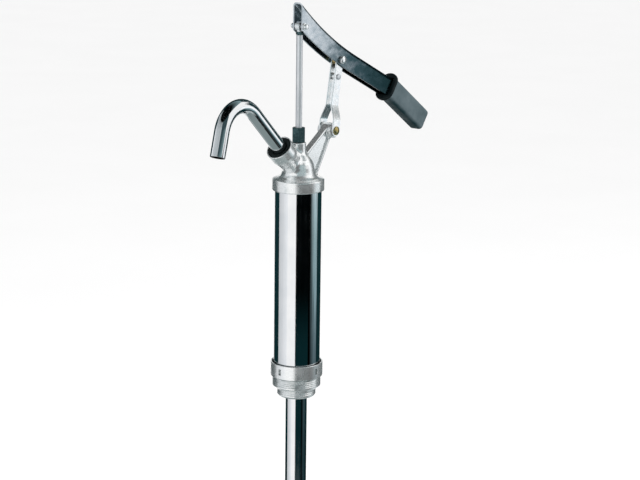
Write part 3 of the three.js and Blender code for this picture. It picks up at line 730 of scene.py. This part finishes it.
def add_studio():
    """A pale floor, two softboxes, and coloured cards that only the reflections see."""
    bpy.context.scene.view_settings.view_transform = "Standard"
    add_world()
    floor = add_disc("floor", FLOOR_RADIUS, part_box("suction_strainer")[0].z, FINISH["floor_paper"])
    floor.visible_glossy = False  # in reflections the cards and the world stand in for it
    floor.visible_diffuse = False

    black, teal, side_teal = (0.0003, 0.0008, 0.001), (0.003, 0.019, 0.022), (0.009, 0.036, 0.041)
    slate, grey, low_grey = (0.04, 0.07, 0.08), (0.25, 0.36, 0.38), (0.46, 0.52, 0.53)
    white = (0.95, 0.97, 1.0)
    add_card("card_front", (-8, 56), CARD_BOTTOM, CARD_TOP, (
        "Z", -0.75, 0.9, (0.0, low_grey), (0.1, teal), (0.27, teal), (0.33, black), (0.48, black),
        (0.545, slate), (0.635, grey), (0.77, grey), (0.955, slate)))
    add_card("card_grey", (56, 110), CARD_BOTTOM, 0.45, (
        "Z", -0.75, 0.2, (0.0, low_grey), (0.16, (0.012, 0.03, 0.035)), (0.37, slate),
        (0.475, (0.10, 0.15, 0.17)), (0.58, (0.21, 0.31, 0.34)), (0.705, grey), (0.777, (0.42, 0.54, 0.58)),
        (0.811, white)), mottled=0.45, fade=(0.3, 0.75))
    for name, angles in (("card_right", (110, 165)), ("card_left", (-152, -102))):
        add_card(name, angles, CARD_BOTTOM, 0.9, (
            "Z", -1, 1, (0.05, low_grey), (0.2, teal), (0.8, side_teal)))
    add_card("card_pale", (-102, -50), CARD_BOTTOM, 0.5, (
        "Y", 1.0, 0.1, (0.0, (0.62, 0.64, 0.66)), (1.0, white)), mottled=0.03)
    add_card("card_high_left", (-128, -8), HIGH_CARD_BOTTOM, CARD_TOP, (
        "Z", 0.5, 1.7, (0.0, white), (0.3, (0.5, 0.54, 0.56)), (1.0, (0.25, 0.28, 0.29))),
        HIGH_CARD_DISTANCE, mottled=0.3)
    add_card("card_high_back", (130, 232), HIGH_CARD_BOTTOM, CARD_TOP, (
        "Z", 0.4, 0.9, (0.0, grey), (0.5, side_teal), (1.0, teal)), HIGH_CARD_DISTANCE)
    reflection_only(add_disc("card_ceiling", HIGH_CARD_DISTANCE, CEILING_HEIGHT, card_material(
        "card_ceiling", "X", 0.2, 1.2, (0.0, black), (1.0, grey))))

    add_softbox("key_light", 45, 1.8, 1.3, (1.2, 1.6), 17)
    add_softbox("side_light", 90, 1.6, 0.9, (1.0, 1.0), 10)


# --- cylinder and foot ---

TUBE_WALL = 1.5


def add_cylinder():
    node = "cylinder_tube"
    outer = radius(node)
    show("cylinder_shell", tube(outer - TUBE_WALL, outer, *heights(node), 160), node)


def add_bung_ring():
    """The slotted ring: a rounded foot edge, a thin lip on top and four spanner slots."""
    outer = radius("bung_ring")
    height = high("bung_ring").z
    wall = radius("cylinder_tube") + GAP
    lip, lip_bottom = 30.4, height - 4
    thread = radius("bung_adaptor") + GAP
    shoulder = low("cylinder_tube").z
    body = lathe(rounded([
        (thread, 0), (outer, 0), (outer, height), (lip, height), (lip, lip_bottom), (wall, lip_bottom),
        (wall, shoulder), (thread, shoulder),
    ], 0.7, 4), 160)
    slot_depth, slot_width, slot_height = 2.6, 3.4, 7.5
    cutters = [
        block((2 * slot_depth, slot_width, slot_height), (outer, 0, height / 2), turn)
        for turn in full_circle(4)
    ]
    show("bung_ring_casting", cut_by(body, cutters), "bung_ring", bevel=0.25)


def threaded(crest, depth, pitch, start, end):
    """A helical thread as rows of (radius against angle, height), fading out at both ends."""
    fade_length, rows_per_turn = 1.5, 10

    def row(height):
        fade = min(1.0, (height - start) / fade_length, (end - height) / fade_length)

        def at(angle):
            phase = (height / pitch - angle / FULL_TURN) % 1.0
            groove = max(0.0, min(1.0, 1.25 - 2.5 * abs(phase - 0.5)))
            return crest - depth * fade * (1 - groove)

        return at, height

    return [row(z) for z in spaced(start, end, int((end - start) / pitch * rows_per_turn))]


def add_foot():
    """The stepped bung adaptor with its two pipe threads, 11 turns to the inch."""
    pitch, depth = 25.4 / 11, 0.7
    big = radius("bung_adaptor")
    bottom, top = heights("bung_adaptor")
    small, small_start, big_end = 23.9, -17.8, -12.5
    port, port_end, throat, throat_start = 8, 4, 10.5, 1
    bore = radius("suction_pipe_outer") + GAP
    pipe_stop = high("suction_pipe_outer").z + GAP
    spigot = radius("cylinder_tube") - TUBE_WALL - GAP
    step = low("foot_gasket").z - GAP
    profile = rounded([(bore, bottom), (small - 1.6, bottom), (small, bottom + 2.3)], 0.6, closed=False)
    profile += threaded(small, depth, pitch, bottom + 2.5, small_start - 0.2)
    profile += rounded([(small, small_start), (big, big_end)], 0.6, closed=False)
    profile += threaded(big, depth, pitch, big_end + 0.2, step - 1.2)
    profile += rounded([
        (big, step - 1), (big - 1, step), (spigot, step), (spigot, top), (port, top), (port, port_end),
        (throat, throat_start), (throat, pipe_stop), (bore, pipe_stop), (bore, bottom + 0.2),
    ], 0.4, 2, closed=False)
    show("foot_casting", lathe(profile, 144), "bung_adaptor")


# --- suction pipes ---


def add_pipes():
    for part, wall in (("outer", 1.2), ("middle", 1.0), ("inner", 1.0)):
        node = "suction_pipe_" + part
        outer = radius(node)
        show(node + "_drawn", tube(outer - wall, outer, *heights(node), 112), node)


def add_pipe_collars():
    """Moulded friction collars with grip flutes round the outside."""
    flutes, flute_depth = 24, 0.45
    for name, outer_pipe, inner_pipe in (("upper", "outer", "middle"), ("lower", "middle", "inner")):
        node, pipe = "pipe_collar_" + name, "suction_pipe_" + outer_pipe
        outside, skirt, bore = radius(node), radius(pipe) + GAP, radius("suction_pipe_" + inner_pipe) + GAP
        bottom, top = heights(node)
        ledge = low(pipe).z - GAP

        def fluted(angle, outside=outside):
            return outside - flute_depth * max(0.0, cos(flutes * angle)) ** 2

        profile = [
            (bore, bottom + 0.3), (bore + 0.3, bottom), (outside - 0.9, bottom),
            (outside - 0.5, bottom + 0.3), (outside - 0.45, bottom + 1.2), (fluted, bottom + 2),
            (fluted, top - 2.2), (outside - 0.45, top - 1.4), (outside - 0.1, top - 1),
            (outside - 0.1, top - 0.3), (outside - 0.4, top), (skirt, top), (skirt, ledge), (bore, ledge),
        ]
        show(node + "_moulded", lathe(profile, 192), node)


def add_strainer():
    """Moulded end with a ribbed skirt, an open inlet and four side slots."""
    node = "suction_strainer"
    outside, inlet = radius(node), 7
    bottom, top = heights(node)
    socket = radius("suction_pipe_inner") + GAP
    ledge = low("suction_pipe_inner").z - GAP
    body = lathe(rounded([
        (inlet, bottom), (outside - 1, bottom), (outside, bottom + 1), (outside, bottom + 9.2),
        (outside - 0.5, bottom + 9.7), (outside - 0.5, top - 2.4), (outside, top - 1.9), (outside, top),
        (socket, top), (socket, ledge), (inlet, ledge),
    ], 0.4), 112)
    slots = [block((3 * outside, 3, 8), (0, 0, bottom + 3.5), turn) for turn in (0, pi / 2)]
    show("strainer_moulded", cut_by(body, slots), node, bevel=0.2)


# --- head casting ---

WEB_HALF, WEB_FLOOR, WEB_RIM = 4.5, 2.0, 3.0
BOSS_RADIUS, BOSS_HALF = 9.0, 8.6
NECK_RADIUS, NECK_TOP = 9.0, 290.0
SOCKET_RADIUS, SOCKET_RECESS, SOCKET_DEPTH = 16.4, 15.0, 10.0
BRANCH_LENGTH, TUBE_DEPTH = 44.6, 18.6


def bracket_outline():
    """The web's outline: two edges from the dome to the pivot boss."""
    boss = BOSS_RADIUS
    top_edge, low_edge = Vector((6, 272.5)), Vector((30.8, 246))
    pivot = Vector((LINK_PIVOT.x, LINK_PIVOT.z))
    to_boss = atan2(pivot.y - top_edge.y, pivot.x - top_edge.x)
    tangent = to_boss + asin(boss / (pivot - top_edge).length) + pi / 2  # where the top edge meets the boss
    top_join = pivot + boss * Vector((cos(tangent), sin(tangent)))
    low_join = pivot + Vector((2, -2))
    return [tuple(top_edge), tuple(top_join), tuple(low_join), tuple(low_edge), (22.8, 244), (6, 248)]


def head_field():
    beyond = -60  # the outlines close on the far side of their axis
    cap_radius, cap_bottom = high("pump_head").y, low("pump_head").z
    recess, tube_top = radius("cylinder_tube") + GAP, high("cylinder_tube").z
    cap = rounded([
        (beyond, cap_bottom), (cap_radius, cap_bottom), (cap_radius, 245.3), (cap_radius - 0.9, 246.2),
        (25.5, 247.4), (22.4, 249.4), (20.6, 252.2), (19.7, 256), (19.1, 260.5), (18.0, 265), (16, 269.2),
        (13, 272.8), (10.6, 275.4), (NECK_RADIUS + 0.3, 278.5), (NECK_RADIUS, 281), (NECK_RADIUS, NECK_TOP),
        (beyond, NECK_TOP),
    ], 1.0, gentlest=30)
    branch = rounded([
        (beyond, -BRANCH_LENGTH), (9.5, -BRANCH_LENGTH), (12.6, -28.6), (13.9, -21.5), (15.6, -16),
        (SOCKET_RADIUS, -11.5), (SOCKET_RADIUS, 0), (beyond, 0),
    ], 0.6, gentlest=30)
    cavity = [
        (beyond, cap_bottom - 3), (recess, cap_bottom - 3), (recess, tube_top + 1.6),
        (24, tube_top + 1.6), (24, 245), (16.5, 247), (16.5, 259), (12, 264.5), (5.5, 267.5), (4.3, 268.5),
        (4.3, 278), (6.6, 278), (6.6, NECK_TOP + 3), (beyond, NECK_TOP + 3),
    ]
    passage = [
        (beyond, -BRANCH_LENGTH), (7, -BRANCH_LENGTH), (7, -TUBE_DEPTH), (9.3, -TUBE_DEPTH),
        (9.3, -SOCKET_DEPTH), (SOCKET_RECESS, -SOCKET_DEPTH), (SOCKET_RECESS, 3), (beyond, 3),
    ]
    outline = bracket_outline()

    def field(points):
        x, y, z = np.moveaxis(points, -1, 0)
        turned = np.hypot(x, y)
        out, up = x - SOCKET_MOUTH.x, z - SOCKET_MOUTH.z
        along = out * SOCKET_AXIS.x + up * SOCKET_AXIS.z
        off_branch = np.hypot(out * SOCKET_AXIS.z - up * SOCKET_AXIS.x, y)
        web = outline_distance(outline, x, z)
        pocket = np.maximum(web + WEB_RIM, WEB_FLOOR - np.abs(y))
        ribbed = less(slab(web, y, WEB_HALF, 0.9), pocket, 1.0)
        from_pivot = np.hypot(x - LINK_PIVOT.x, z - LINK_PIVOT.z)
        boss = slab(from_pivot - BOSS_RADIUS, y, BOSS_HALF, 0.8)
        solid = blended(outline_distance(cap, turned, z), outline_distance(branch, off_branch, along), 5.0)
        solid = blended(solid, blended(ribbed, boss, 2.5), 3.0)
        solid = less(solid, outline_distance(cavity, turned, z), 0.5)
        solid = less(solid, outline_distance(passage, off_branch, along), 0.5)
        return less(solid, from_pivot - PIVOT_BORE, 0.5)

    return field


def add_head():
    step = 0.7
    margin = Vector((2, 2, 2))
    lowest, highest = low("pump_head") - margin, high("pump_head") + margin
    show("head_casting", surface_of(head_field(), lowest, highest, step), "pump_head", crease=60)


def add_gland():
    node = "gland_nut"
    hex_bottom = NECK_TOP + GAP
    bottom, top = heights(node)
    nut = hex_nut(15, radius("piston_rod") + GAP, hex_bottom, top, radians(10), (6.3, hex_bottom - bottom))
    show("gland_nut_hex", nut, node)


# --- spout ---


class SpoutLine:
    """The spout's middle line: straight out of the socket, one round bend, then straight to the mouth."""
    inserted, entry, bend_radius, bend, exit = 15.6, 64.614, 36.6, radians(114.5), 30.9
    swing = radians(6.2)  # round the socket's axis, towards -Y
    entry_length = inserted + entry
    bend_length = bend_radius * bend
    length = entry_length + bend_length + exit
    inward = Vector((-SOCKET_AXIS.z, 0, SOCKET_AXIS.x)) * cos(swing) - Vector((0, sin(swing), 0))
    across = SOCKET_AXIS.cross(inward)

    def at(self, s):
        """The place at a distance along the line, and the normal to the line in the plane of the bend."""
        turn = min(max((s - self.entry_length) / self.bend_radius, 0), self.bend)
        before = min(s, self.entry_length)
        after = max(s - self.entry_length - self.bend_length, 0)
        w = before - self.inserted + self.bend_radius * sin(turn) + after * cos(turn)
        v = self.bend_radius * (1 - cos(turn)) + after * sin(turn)
        place = SOCKET_MOUTH + SOCKET_AXIS * w + self.inward * v
        ahead = SOCKET_AXIS * cos(turn) + self.inward * sin(turn)
        return place, ahead.cross(self.across)


def add_spout():
    """Bent chromed tube, its ends cut square with the edges broken. Its inside gets painted shade."""
    line = SpoutLine()
    outer, bore, segments = 9.0, 7.8, 72
    edge, round_off = 0.3, 0.1
    bend_end = line.entry_length + line.bend_length
    stations = spaced(0, line.entry_length, 8)[:-1]
    stations += spaced(line.entry_length, bend_end, 44)
    stations += spaced(bend_end, line.length, 6)[1:]
    stations[0], stations[-1] = edge, line.length - edge
    outside = [(s, outer) for s in stations]
    mouth = [(line.length - round_off, outer - round_off), (line.length, outer - edge),
             (line.length, bore + edge), (line.length - round_off, bore + round_off)]
    inside = [(s, bore) for s in reversed(stations)]
    start = [(round_off, bore + round_off), (0, bore + edge), (0, outer - edge),
             (round_off, outer - round_off)]
    rings = []
    for s, r in outside + mouth + inside + start:
        place, normal = line.at(s)
        rings.append([
            place + normal * r * cos(a) + line.across * r * sin(a) for a in full_circle(segments)
        ])
    spout = show("spout_bent_tube", skin(rings, joined=True), "spout_tube")
    # The inside faces get a near-black material: painted shade in the bore.
    spout.data.materials.append(FINISH["tube_bore"])
    first = len(outside) + 1
    last = first + len(mouth) + len(inside)
    for face in spout.data.polygons[first * segments:last * segments]:
        face.material_index = 1


def add_spout_seal():
    """The lip seal, drawn about Z with Z = 0 at the socket's mouth and then turned into the socket."""
    bore, outside = 9.15, SOCKET_RECESS - 0.15
    bottom = GAP - SOCKET_DEPTH
    profile = rounded([(bore, bottom), (outside, bottom), (outside, -1.4), (outside - 1.2, -0.5),
                       (bore + 1.6, -0.5), (bore, -1.8)], 0.9, 4)
    turn = Vector((0, 0, 1)).rotation_difference(SOCKET_AXIS).to_matrix().to_4x4()
    show("spout_seal_lip", moved(lathe(profile), Matrix.Translation(SOCKET_MOUTH) @ turn), "spout_seal")


# --- rod ---


def add_rod():
    node = "piston_rod"
    bottom, top = heights(node)
    r, thread = radius(node), 2.6
    low_shoulder, high_shoulder = 133.6, 418.2
    profile = rounded([
        (0, bottom), (thread, bottom), (thread, low_shoulder), (r, low_shoulder), (r, high_shoulder),
        (thread, high_shoulder), (thread, top), (0, top),
    ], 0.5, closed=False)
    show("piston_rod_ground", lathe(profile, 64, joined=False), node)


def add_rod_end():
    thread_bore, thread_top = 2.9, 424.8
    eye_radius, eye_half_flat = high("rod_eye").x, 3.4
    shank_radius, shank_top, shank_bottom = 3.95, 427, low("rod_eye").z
    shank_half, shank_middle = (shank_top - shank_bottom) / 2, (shank_top + shank_bottom) / 2
    show("rod_lock_nut_hex", hex_nut(8, thread_bore, *heights("rod_lock_nut"), pi / 2), "rod_lock_nut")

    def field(points):
        x, y, z = np.moveaxis(points, -1, 0)
        from_pin, from_axis = np.hypot(x - ROD_PIN.x, z - ROD_PIN.z), np.hypot(x, y)
        eye = slab(from_pin - eye_radius, y, eye_half_flat, 0.8)
        shank = slab(from_axis - shank_radius, z - shank_middle, shank_half, 0.4)
        solid = less(blended(eye, shank, 1.0), from_pin - ROD_PIN_BORE, 0.4)
        return less(solid, np.maximum(from_axis - thread_bore, z - thread_top), 0.3)

    margin = Vector((1, 1, 1))
    mesh = surface_of(field, low("rod_eye") - margin, high("rod_eye") + margin, 0.28)
    show("rod_eye_forged", mesh, "rod_eye", crease=60)
    pin = solid_pin(ROD_PIN_RADIUS, ROD_PIN, high("rod_cross_pin").y)
    show("rod_cross_pin_turned", pin, "rod_cross_pin", bevel=0.2)


# --- link ---

LINK_LENGTH = (FULCRUM - LINK_PIVOT).length
LINK_TILT = atan2(FULCRUM.x - LINK_PIVOT.x, FULCRUM.z - LINK_PIVOT.z)
STRAP_THICK, STRAP_TOP, STRAP_FOOT = 2.0, 2.9, 9.3
STRAP_LOW_EYE, STRAP_TOP_EYE = 7.0, 6.3
JOGGLE_LOW, JOGGLE_HIGH = 13.0, 31.0
RIVET_HEIGHT = LINK_LENGTH - 21.0


def on_link():
    """Turns a shape drawn with the link's foot at the origin and its top straight up into its place."""
    return Matrix.Translation((LINK_PIVOT.x, 0, LINK_PIVOT.z)) @ Matrix.Rotation(LINK_TILT, 4, "Y")


def strap_half_width(z):
    """Half the strap's width at a height: round eyes joined by straight edges."""
    lean = asin((STRAP_LOW_EYE - STRAP_TOP_EYE) / LINK_LENGTH)
    low_join = STRAP_LOW_EYE * sin(lean)
    top_join = LINK_LENGTH + STRAP_TOP_EYE * sin(lean)
    if z < low_join:
        return sqrt(max(STRAP_LOW_EYE ** 2 - z ** 2, 0))
    if z > top_join:
        return sqrt(max(STRAP_TOP_EYE ** 2 - (z - LINK_LENGTH) ** 2, 0))
    share = (z - low_join) / (top_join - low_join)
    return cos(lean) * (STRAP_LOW_EYE * (1 - share) + STRAP_TOP_EYE * share)


def strap_set(z):
    """How far out the strap's inner face lies at a height: a smooth joggle between foot and top."""
    share = min(max((z - JOGGLE_LOW) / (JOGGLE_HIGH - JOGGLE_LOW), 0), 1)
    eased = share * share * (3 - 2 * share)
    return STRAP_FOOT + (STRAP_TOP - STRAP_FOOT) * (0.25 * eased + 0.75 * share)


def strap(side):
    levels = [-STRAP_LOW_EYE * cos(a) for a in spaced(radians(3), pi / 2, 14)]
    levels += spaced(0, JOGGLE_LOW - 1, 5)[1:] + spaced(JOGGLE_LOW, JOGGLE_HIGH, 19)
    levels += spaced(JOGGLE_HIGH + 1, LINK_LENGTH, 12)
    levels += [LINK_LENGTH + STRAP_TOP_EYE * sin(a) for a in spaced(0, radians(87), 14)[1:]]
    edge = SHEET_EDGE
    rings = []
    for z in levels:
        half, inner = strap_half_width(z), strap_set(z)
        outer = inner + STRAP_THICK
        cut = min(edge, 0.6 * half)
        section = [(-half, inner + edge), (-half, outer - edge), (-half + cut, outer), (half - cut, outer),
                   (half, outer - edge), (half, inner + edge), (half - cut, inner), (-half + cut, inner)]
        rings.append([(x, side * y, z) for x, y in section])
    holes = [
        solid_pin(size, Vector((0, 0, z)))
        for size, z in ((PIVOT_BORE, 0), (FULCRUM_BORE, LINK_LENGTH), (RIVET_BORE, RIVET_HEIGHT))
    ]
    return moved(cut_by(skin(rings), holes), on_link())


def add_link():
    for name, side in (("link_strap_near", -1), ("link_strap_far", 1)):
        show(name + "_pressed", strap(side), name, crease=35)
    centre = Vector((0, 0, RIVET_HEIGHT))
    head = [(3.6, 0), (3.6, 0.5), (3.1, 1.1), (2.0, 1.45), (0, 1.5)]
    rivet = turned_pin(two_headed(head, 2.5, STRAP_TOP + STRAP_THICK + GAP), centre)
    show("link_rivet_headed", moved(rivet, on_link()), "link_rivet")
    half = STRAP_TOP - GAP
    spacer = across(tube(RIVET_BORE, 4.3, -half, half, 48), centre)
    show("link_spacer_tube", moved(spacer, on_link()), "link_spacer")


def add_pivot_pin():
    """The link's foot pin: a domed head on the near side and a starred push-on clip on the far side."""
    face = STRAP_FOOT + STRAP_THICK + GAP
    dome = [(0, 2), (1.6, 1.95), (3.2, 1.7), (4.6, 1.05), (5.3, 0.4), (5.4, 0)]
    shank, tip, end = 4, 3.4, face + 2.4
    profile = [(r, -face - h) for r, h in dome] + [(shank, -face), (shank, end - 0.6), (tip, end), (0, end)]
    show("pivot_pin_headed", turned_pin(profile, LINK_PIVOT, 56), "pivot_pin")

    teeth, tooth, waist, outside = 8, 0.7, 5.3, 6.8

    def toothed(angle):
        return PIVOT_BORE + tooth * (1 if cos(teeth * angle) > 0.3 else 0)

    section = [(toothed, 0.5), (waist, 0.1), (outside - 0.2, 0), (outside, 0.2), (outside, 0.9),
               (outside - 0.2, 1.1), (waist, 0.6), (toothed, 1.2)]
    clip = lathe([(r, face + h) for r, h in section], 128)
    show("pivot_clip_sprung", across(clip, LINK_PIVOT), "pivot_clip")


# --- lever ---

LEVER_HALF, LEVER_SHEET, LEVER_DEPTH = 7.4, 1.8, 23.4
LEVER_LOW_CURVE, LEVER_TOP_CURVE = 531.5, 445.0
LEVER_SLOPE, LEVER_END = radians(25.5), -3.6
LEVER_BEND = Vector((97.4, 375.35))
LEVER_CORNER = 5.2
GRIP_START, GRIP_SLOPE = Vector((172.85, 339.25)), radians(35)
GRIP_LENGTH, GRIP_HEIGHT, GRIP_WIDTH, GRIP_WALL = 89.5, 28.0, 20.0, 8.0
LEVER_DOWN = Vector((-sin(LEVER_SLOPE), -cos(LEVER_SLOPE)))
GRIP_ALONG = Vector((cos(GRIP_SLOPE), -sin(GRIP_SLOPE)))
GRIP_DOWN = Vector((-sin(GRIP_SLOPE), -cos(GRIP_SLOPE)))


def lever_edges():
    """Pairs of points in the lever's plane, on its top and lower edges, from the open end to the grip."""
    half = LEVER_DEPTH / 2
    bend_angle = atan2(LEVER_DOWN.y, LEVER_DOWN.x)
    curves = []
    for offset, size in ((-half, LEVER_TOP_CURVE), (half, LEVER_LOW_CURVE)):
        centre = LEVER_BEND + LEVER_DOWN * (offset - size)
        first = -acos((LEVER_END - centre.x) / size)
        curves.append([centre + size * Vector((cos(a), sin(a))) for a in spaced(first, bend_angle, 40)])
    pairs = list(zip(*curves))
    tail = GRIP_START + GRIP_ALONG * (GRIP_LENGTH - GRIP_WALL)
    for start, end, down in ((LEVER_BEND, GRIP_START, LEVER_DOWN), (GRIP_START, tail, None)):
        for share in spaced(0, 1, 6)[1:]:
            middle = start + (end - start) * share
            here = down or (LEVER_DOWN * (1 - share) + GRIP_DOWN * share)
            pairs.append((middle - here * half, middle + here * half))
    return pairs


def channel_section(depth):
    """The lever's section as (y, distance below its top): an upturned U of sheet with round shoulders."""
    edge, middle = SHEET_EDGE, LEVER_HALF - LEVER_CORNER
    inner_half, inner_corner = LEVER_HALF - LEVER_SHEET, LEVER_CORNER - LEVER_SHEET
    outside = [(LEVER_HALF - edge, depth), (LEVER_HALF, depth - edge)] + [
        (middle + LEVER_CORNER * cos(a), LEVER_CORNER - LEVER_CORNER * sin(a)) for a in spaced(0, pi / 2, 9)
    ]
    inside = [
        (middle + inner_corner * cos(a), LEVER_CORNER - inner_corner * sin(a)) for a in spaced(pi / 2, 0, 9)
    ] + [(inner_half, depth - edge), (inner_half + edge, depth)]
    far_outside, far_inside = ([(-y, d) for y, d in reversed(half)] for half in (outside, inside))
    return outside + far_outside + far_inside + inside


def add_lever():
    rings = []
    for top, bottom in lever_edges():
        down = bottom - top
        depth = down.length
        down.normalize()
        rings.append([(top.x + down.x * d, y, top.y + down.y * d) for y, d in channel_section(depth)])
    holes = [solid_pin(ROD_PIN_BORE, ROD_PIN), solid_pin(FULCRUM_BORE, FULCRUM)]
    show("lever_pressing", cut_by(skin(rings), holes), "lever_channel", crease=35)


def add_lever_pins():
    face, head_height = LEVER_HALF + GAP, 4.2
    head = [(5, 0), (5, 2.2), (4.75, 2.9), (4.1, 3.6), (2.9, 4.05), (0, head_height)]
    show("fulcrum_pin_headed", turned_pin(two_headed(head, 3.5, face), FULCRUM, 64), "fulcrum_pin")
    half = STRAP_TOP - GAP
    show("fulcrum_bush_turned", across(tube(FULCRUM_BORE, 6, -half, half, 64), FULCRUM), "fulcrum_bush")

    stub, collar, end = LEVER_HALF - LEVER_SHEET + GAP, face + 0.9, face + head_height
    head = rounded([
        (0, stub), (ROD_PIN_RADIUS, stub), (ROD_PIN_RADIUS, face), (4.2, face), (4.2, collar), (3.1, collar),
        (3.1, end - 0.8), (2.3, end), (0, end),
    ], 0.35, 2, closed=False)
    for node, side in (("rod_pin_head_far", 1), ("rod_pin_head_near", -1)):
        show(node + "_turned", turned_pin([(r, side * y) for r, y in head], ROD_PIN), node)


# --- grip ---


def round_rectangle(width, height, corner, steps=6):
    """Points of a rectangle with round corners, as (y, down)."""
    points = []
    for quarter, (sy, sd) in enumerate(((1, 1), (-1, 1), (-1, -1), (1, -1))):
        for a in spaced(quarter * pi / 2, (quarter + 1) * pi / 2, steps):
            points.append((sy * (width / 2 - corner) + corner * cos(a),
                           sd * (height / 2 - corner) + corner * sin(a)))
    return points


def grip_ring(along, width, height, corner, inset=0.0):
    centre = GRIP_START + GRIP_ALONG * along
    return [
        (centre.x + GRIP_DOWN.x * d, y, centre.y + GRIP_DOWN.y * d)
        for y, d in round_rectangle(width - 2 * inset, height - 2 * inset, corner)
    ]


def add_grip():
    start, corner, nose = 2.8, 5.0, 4.0
    pocket = 2 * (LEVER_HALF + 0.35), LEVER_DEPTH + 0.7, 0.5
    rings = [grip_ring(along, *pocket) for along in (GRIP_LENGTH - GRIP_WALL + 0.8, start + 0.5)]
    rings.append(grip_ring(start, GRIP_WIDTH, GRIP_HEIGHT, 4.2, inset=0.8))
    for along in [start + 0.8] + spaced(start + 4, GRIP_LENGTH - 5, 10):
        rings.append(grip_ring(along, GRIP_WIDTH, GRIP_HEIGHT, corner))
    for turn in spaced(0, pi / 2, 7)[1:]:
        inset = nose * (1 - cos(turn))
        along = GRIP_LENGTH - nose + nose * sin(turn)
        rings.append(grip_ring(along, GRIP_WIDTH, GRIP_HEIGHT, corner - 0.9 * inset, inset))
    show("grip_moulded", skin(rings), "grip_sleeve", crease=45)


def add_grip_collar():
    half, edge = 2.5, 1.4
    width, height, corner = 25.0, 38.0, 11.5
    hole = 2 * (LEVER_HALF + 0.35), LEVER_DEPTH + 1.2, 0.5
    rings = [grip_ring(along, *hole) for along in (half, -half)]
    for middle, first, last in ((edge - half, -pi / 2, 0), (half - edge, 0, pi / 2)):
        for turn in spaced(first, last, 6):
            inset = edge * (1 - cos(turn))
            rings.append(grip_ring(middle + edge * sin(turn), width, height, corner - inset, inset))
    show("grip_collar_moulded", skin(rings, joined=True), "grip_collar", crease=45)


# --- pieces kept as CAD nodes ---


def finish_kept_nodes():
    for node, item in frame["nodes"].items():
        item.data.materials.clear()
        item.data.materials.append(FINISH[SLOT_OF[node]])
        smooth(item, 30)


add_camera()
add_studio()
add_cylinder()
add_bung_ring()
add_foot()
add_pipes()
add_pipe_collars()
add_strainer()
add_head()
add_gland()
add_spout()
add_spout_seal()
add_rod()
add_rod_end()
add_link()
add_pivot_pin()
add_lever()
add_lever_pins()
add_grip()
add_grip_collar()
finish_kept_nodes()

boxes = {"cad": cad_box, "visual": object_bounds()}
{name: [list(corner) for corner in box] for name, box in boxes.items()}
